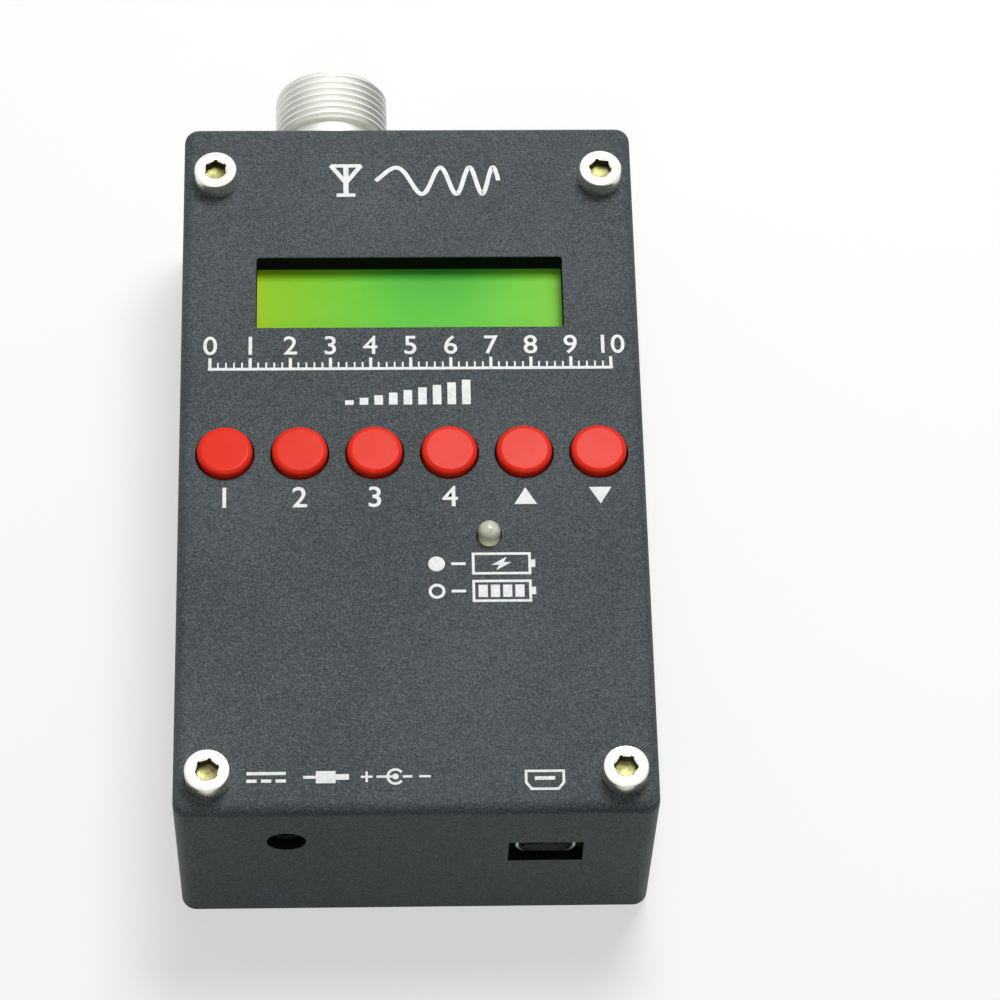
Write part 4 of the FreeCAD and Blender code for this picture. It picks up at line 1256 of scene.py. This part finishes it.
    def button_marks(self, marks: Marks) -> None:
        """Draw four numerals and two arrowheads under the buttons.

        Args:
            marks: The marks that they join.
        """
        steps = {5: Step.UP, 6: Step.DOWN}
        for i in range(1, 7):
            x = middle_of("button_cap_%d" % i).x
            if i in steps:
                self.arrowhead(marks, steps[i], x)
            else:
                marks.number(str(i), x, self.button_mark_foot, self.button_mark_height)

    def arrowhead(self, marks: Marks, step: Step, x: float) -> None:
        """Draw one arrowhead under a button.

        Args:
            marks: The marks that it joins.
            step: Which way its button counts.
            x: Its middle.
        """
        half = self.button_mark_height / 2
        middle = self.button_mark_foot + half
        reach = step.value * self.button_mark_height * self.arrow_share
        marks.patch([(x - half, middle - reach), (x + half, middle - reach), (x, middle + reach)])

    def battery(self, marks: Marks, charge: Charge, x: float, y: float) -> None:
        """Draw a battery, with a bolt in it or filled.

        Args:
            marks: The marks that it joins.
            charge: What it says.
            x: Its middle.
            y: Its middle.
        """
        (width, height), wall = self.battery_size, self.battery_wall
        left, low = x - width / 2, y - height / 2
        right, high = left + width, low + height
        marks.stroke([(left, low), (right, low), (right, high), (left, high)], wall, closed=True)
        marks.bar(right + wall / 2, y - self.battery_pole[1] / 2, *self.battery_pole)
        if charge is Charge.FULL:
            for i in range(4):
                cell_x = left + self.cell_inset + i * self.cell_pitch
                marks.bar(cell_x, y - self.cell[1] / 2, *self.cell)
            return
        for side in (1, -1):
            marks.patch([(x + side * across, y + side * up) for across, up in self.bolt])

    def lamp_marks(self, marks: Marks) -> None:
        """Draw what the lamp's two colours mean, under the lamp.

        Args:
            marks: The marks that they join.
        """
        spot, dash, battery = self.lamp_mark_x
        for y, charge in zip(self.lamp_rows, Charge):
            if charge is Charge.CHARGING:
                marks.disc(spot, y, self.lamp_mark_radii[0])
            else:
                marks.arc(spot, y, self.lamp_mark_radii[1], (0, 360), self.dash[1])
            marks.bar(dash, y - self.dash[1] / 2, *self.dash)
            self.battery(marks, charge, battery, y)

    def power_marks(self, marks: Marks) -> None:
        """Draw direct current, a plug and its polarity beside the power jack.

        Args:
            marks: The marks that they join.
        """
        for left, low, width, height in self.power_bars:
            marks.bar(left, self.power_y + low, width, height)
        marks.arc(self.cup_x, self.power_y, self.cup_radius, self.cup_turn, self.thin)
        marks.disc(self.cup_x, self.power_y, self.contact_radius)
        for left, low, width, height in self.contact_bars:
            marks.bar(left, self.power_y + low, width, height)

    def port_mark(self, marks: Marks) -> None:
        """Draw the data socket's outline with its tongue, above the socket.

        Args:
            marks: The marks that they join.
        """
        (x, y), (width, tall), (foot, rise) = self.port_middle, self.port_size, self.port_foot
        line = [(x - foot / 2, y), (x + foot / 2, y), (x + width / 2, y + rise)]
        line += [(x + width / 2, y + tall), (x - width / 2, y + tall), (x - width / 2, y + rise)]
        marks.stroke(line, self.thin, closed=True)
        across, thick, lift = self.tongue
        marks.bar(x - across / 2, y + lift, across, thick)

    def build(self) -> None:
        """Build each group of marks as its own piece on the button face."""
        groups = {
            "print_sweep": self.sweep_and_antenna,
            "print_scale": self.scale,
            "print_level_bars": self.level_bars,
            "print_button_marks": self.button_marks,
            "print_lamp_marks": self.lamp_marks,
            "print_power_marks": self.power_marks,
            "print_port_mark": self.port_mark,
        }
        sheet = Matrix.Translation((0, 0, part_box("top_shell")[1].z / MM))
        for name, draw in groups.items():
            marks = Marks(self.thickness)
            draw(marks)
            marks.piece(name, sheet, "case")


@dataclass
class ButtonRow:
    """Six red push buttons in a row, each with its own stem and switch."""

    count: int = 6

    def build(self) -> None:
        """Dress each button's pieces."""
        for i in range(1, self.count + 1):
            dress("button_cap_%d" % i, RED_ABS)
            dress("button_stem_%d" % i, WHITE_ACETAL)
            dress("switch_body_%d" % i, BLACK_NYLON)


@dataclass
class ChargingLamp:
    """Milky lamp, set by hand and so leaning a little, with its flange on the leads."""

    radius: float = 1.5
    lean: float = 2.0
    lean_towards: float = 235.0
    flange_radius: float = 1.9
    flange_height: float = 1.0
    dome_steps: int = 14
    sides: int = 48

    def build(self) -> None:
        """Build the lamp in place of the plain one."""
        low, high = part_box("status_lamp")
        foot, top = low.z / MM, high.z / MM
        shoulder = foot + self.flange_height
        profile = [(0, foot), (self.flange_radius, foot), (self.flange_radius, shoulder)]
        profile.append((self.radius, shoulder))
        profile += quarter_round(self.radius, (self.radius, top), self.dome_steps)[:-1]
        profile.append((0, top))
        mesh = bmesh.new()
        skin(mesh, [circle(radius, z, self.sides) for radius, z in profile])
        middle = middle_of("status_lamp") * MM
        pivot = Vector((0, 0, middle.z))
        heading = math.radians(self.lean_towards)
        axis = Vector((-math.sin(heading), math.cos(heading), 0))
        leaning = Matrix.Translation(middle)
        leaning @= Matrix.Rotation(math.radians(self.lean), 4, axis) @ Matrix.Translation(-pivot)
        bmesh.ops.transform(mesh, matrix=leaning, verts=mesh.verts)
        make_piece("charging_lamp", mesh, [MILKY_EPOXY], "case", ["status_lamp"])


@dataclass
class FarEndMarks:
    """Plain on and off strokes beside the power switch, on the far end wall."""

    offset: float = 6.6
    tall: float = 2.6
    line: float = 0.42
    thickness: float = 0.03

    def build(self) -> None:
        """Build the two strokes facing away along +Y."""
        slider = middle_of("power_slider")
        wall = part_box("top_shell")[1].y / MM
        marks = Marks(self.thickness)
        marks.arc(self.offset, 0, self.tall / 2, (0, 360), self.line)
        marks.bar(-self.offset - self.line / 2, -self.tall / 2, self.line, self.tall)
        facing = Matrix(((-1, 0, 0, slider.x), (0, 0, 1, wall), (0, 1, 0, slider.z), (0, 0, 0, 1)))
        marks.piece("print_switch_marks", facing, "case")


class InnerParts:
    """Everything else that the frame holds, dressed as it is."""

    def build(self) -> None:
        """Dress each remaining node."""
        for finish, nodes in NODE_FINISHES.items():
            for node in nodes:
                dress(node, finish)


@dataclass
class Studio:
    """Pale floor, soft lamps, white surroundings and the camera.

    Attributes:
        target: The point that the camera looks at, mm.
        turn: How far the camera stands round from straight behind the near end, degrees.
        height: Its elevation, degrees.
        roll: Its roll, degrees.
        distance: Its distance, mm.
        lens: Its focal length, mm on the sensor.
        sensor: Width of the sensor, mm.
        clip: How near and how far it sees, metres.
        ambient: Strength of the light that comes from all round.
        floor_size: Width of the floor, mm.
        floor_colour: Its colour.
        floor_lift: How much of its look is light of its own, which lights nothing.
        lamps: The soft lamps: name, place and width in mm, and watts.
    """

    target: tuple[float, float, float] = (12.273, 2.578, 12.59)
    turn: float = -4.222
    height: float = 60.755
    roll: float = 3.292
    distance: float = 534.14
    lens: float = 139.885
    sensor: float = 36.0
    clip: Point = (0.01, 20.0)
    ambient: float = 0.2
    floor_size: float = 6000.0
    floor_colour: str = "#BABABA"
    floor_lift: float = 0.55
    lamps: tuple[tuple[str, tuple[float, float, float], float, float], ...] = (
        ("far_overhead_lamp", (75, 205, 520), 210, 2.2),
        ("near_fill_lamp", (-40, -330, 400), 90, 0.12),
    )

    def seen_directly(self, tree: bpy.types.NodeTree) -> bpy.types.NodeSocket:
        """Return one for rays from the camera and for those that metal and glass pass on."""
        path = add_node(tree, "ShaderNodeLightPath")
        shiny = add_node(
            tree,
            "ShaderNodeMath",
            links={0: path.outputs["Is Glossy Ray"], 1: path.outputs["Is Transmission Ray"]},
            operation="MAXIMUM",
        )
        either = add_node(
            tree,
            "ShaderNodeMath",
            links={0: path.outputs["Is Camera Ray"], 1: shiny.outputs[0]},
            operation="MAXIMUM",
        )
        return either.outputs[0]

    def build_world(self) -> None:
        """Make surroundings that look white and light the object from all round."""
        world = bpy.data.worlds.new("white_studio")
        world.use_nodes = True
        tree = world.node_tree
        tree.nodes.clear()
        strength = add_node(
            tree,
            "ShaderNodeMapRange",
            {"To Min": self.ambient, "To Max": 1.0},
            {"Value": self.seen_directly(tree)},
        )
        background = add_node(
            tree,
            "ShaderNodeBackground",
            {"Color": (1, 1, 1, 1)},
            {"Strength": strength.outputs[0]},
        )
        add_node(tree, "ShaderNodeOutputWorld", links={"Surface": background.outputs[0]})
        bpy.context.scene.world = world

    def build_floor(self) -> None:
        """Lay a pale floor that keeps the object's shadow and otherwise looks white."""
        material = bpy.data.materials.new("pale_studio_floor")
        material.use_nodes = True
        tree = material.node_tree
        tree.nodes.clear()
        diffuse = add_node(tree, "ShaderNodeBsdfDiffuse", {"Color": linear(self.floor_colour)})
        lift = add_node(
            tree,
            "ShaderNodeMath",
            {1: self.floor_lift},
            {0: self.seen_directly(tree)},
            operation="MULTIPLY",
        )
        glow = add_node(tree, "ShaderNodeEmission", links={"Strength": lift.outputs[0]})
        links = {0: diffuse.outputs[0], 1: glow.outputs[0]}
        both = add_node(tree, "ShaderNodeAddShader", links=links)
        add_node(tree, "ShaderNodeOutputMaterial", links={"Surface": both.outputs[0]})
        half = self.floor_size / 2 * MM
        data = bpy.data.meshes.new("studio_floor")
        corners = [(-half, -half, 0), (half, -half, 0), (half, half, 0), (-half, half, 0)]
        data.from_pydata(corners, [], [(0, 1, 2, 3)])
        data.materials.append(material)
        floor = bpy.data.objects.new("studio_floor", data)
        bpy.context.scene.collection.objects.link(floor)

    def add_lamp(
        self, name: str, spot: tuple[float, float, float], size: float, watts: float
    ) -> None:
        """Hang a square soft lamp that faces the object.

        Args:
            name: Name of the lamp.
            spot: Its place, mm.
            size: Its width, mm.
            watts: Its power.
        """
        data = bpy.data.lights.new(name, "AREA")
        data.shape = "SQUARE"
        data.size = size * MM
        data.energy = watts
        lamp = bpy.data.objects.new(name, data)
        bpy.context.scene.collection.objects.link(lamp)
        lamp.location = Vector(spot) * MM
        lamp.rotation_mode = "QUATERNION"
        lamp.rotation_quaternion = (Vector((0, 0, 0)) - lamp.location).to_track_quat("-Z", "Y")

    def build_camera(self) -> None:
        """Set the camera at the photograph's angle."""
        turn, height, roll = (math.radians(a) for a in (self.turn, self.height, self.roll))
        level = Vector((math.sin(turn), -math.cos(turn), 0)) * math.cos(height)
        back = level + Vector((0, 0, math.sin(height)))
        right = Vector((math.cos(turn), math.sin(turn), 0))
        up = back.cross(right)
        rolled_right = right * math.cos(roll) + up * math.sin(roll)
        rolled_up = up * math.cos(roll) - right * math.sin(roll)
        data = bpy.data.cameras.new("studio_camera")
        data.lens, data.sensor_width = self.lens, self.sensor
        data.clip_start, data.clip_end = self.clip
        camera = bpy.data.objects.new("studio_camera", data)
        bpy.context.scene.collection.objects.link(camera)
        axes = Matrix((rolled_right, rolled_up, back)).transposed().to_4x4()
        place = (Vector(self.target) + back * self.distance) * MM
        camera.matrix_world = Matrix.Translation(place) @ axes
        bpy.context.scene.camera = camera

    def build(self) -> None:
        """Build the studio."""
        self.build_world()
        self.build_floor()
        for lamp in self.lamps:
            self.add_lamp(*lamp)
        self.build_camera()
        bpy.context.scene.view_settings.view_transform = "Standard"
        LOG.info("studio ready")


def main() -> None:
    """Build the whole object and its studio, piece by piece."""
    logging.basicConfig(level=logging.INFO, format="%(name)s: %(message)s")
    Studio().build()
    InnerParts().build()
    CaseShell().build()
    FacePrint().build()
    ButtonRow().build()
    ChargingLamp().build()
    FarEndMarks().build()


if __name__ == "__main__":
    main()
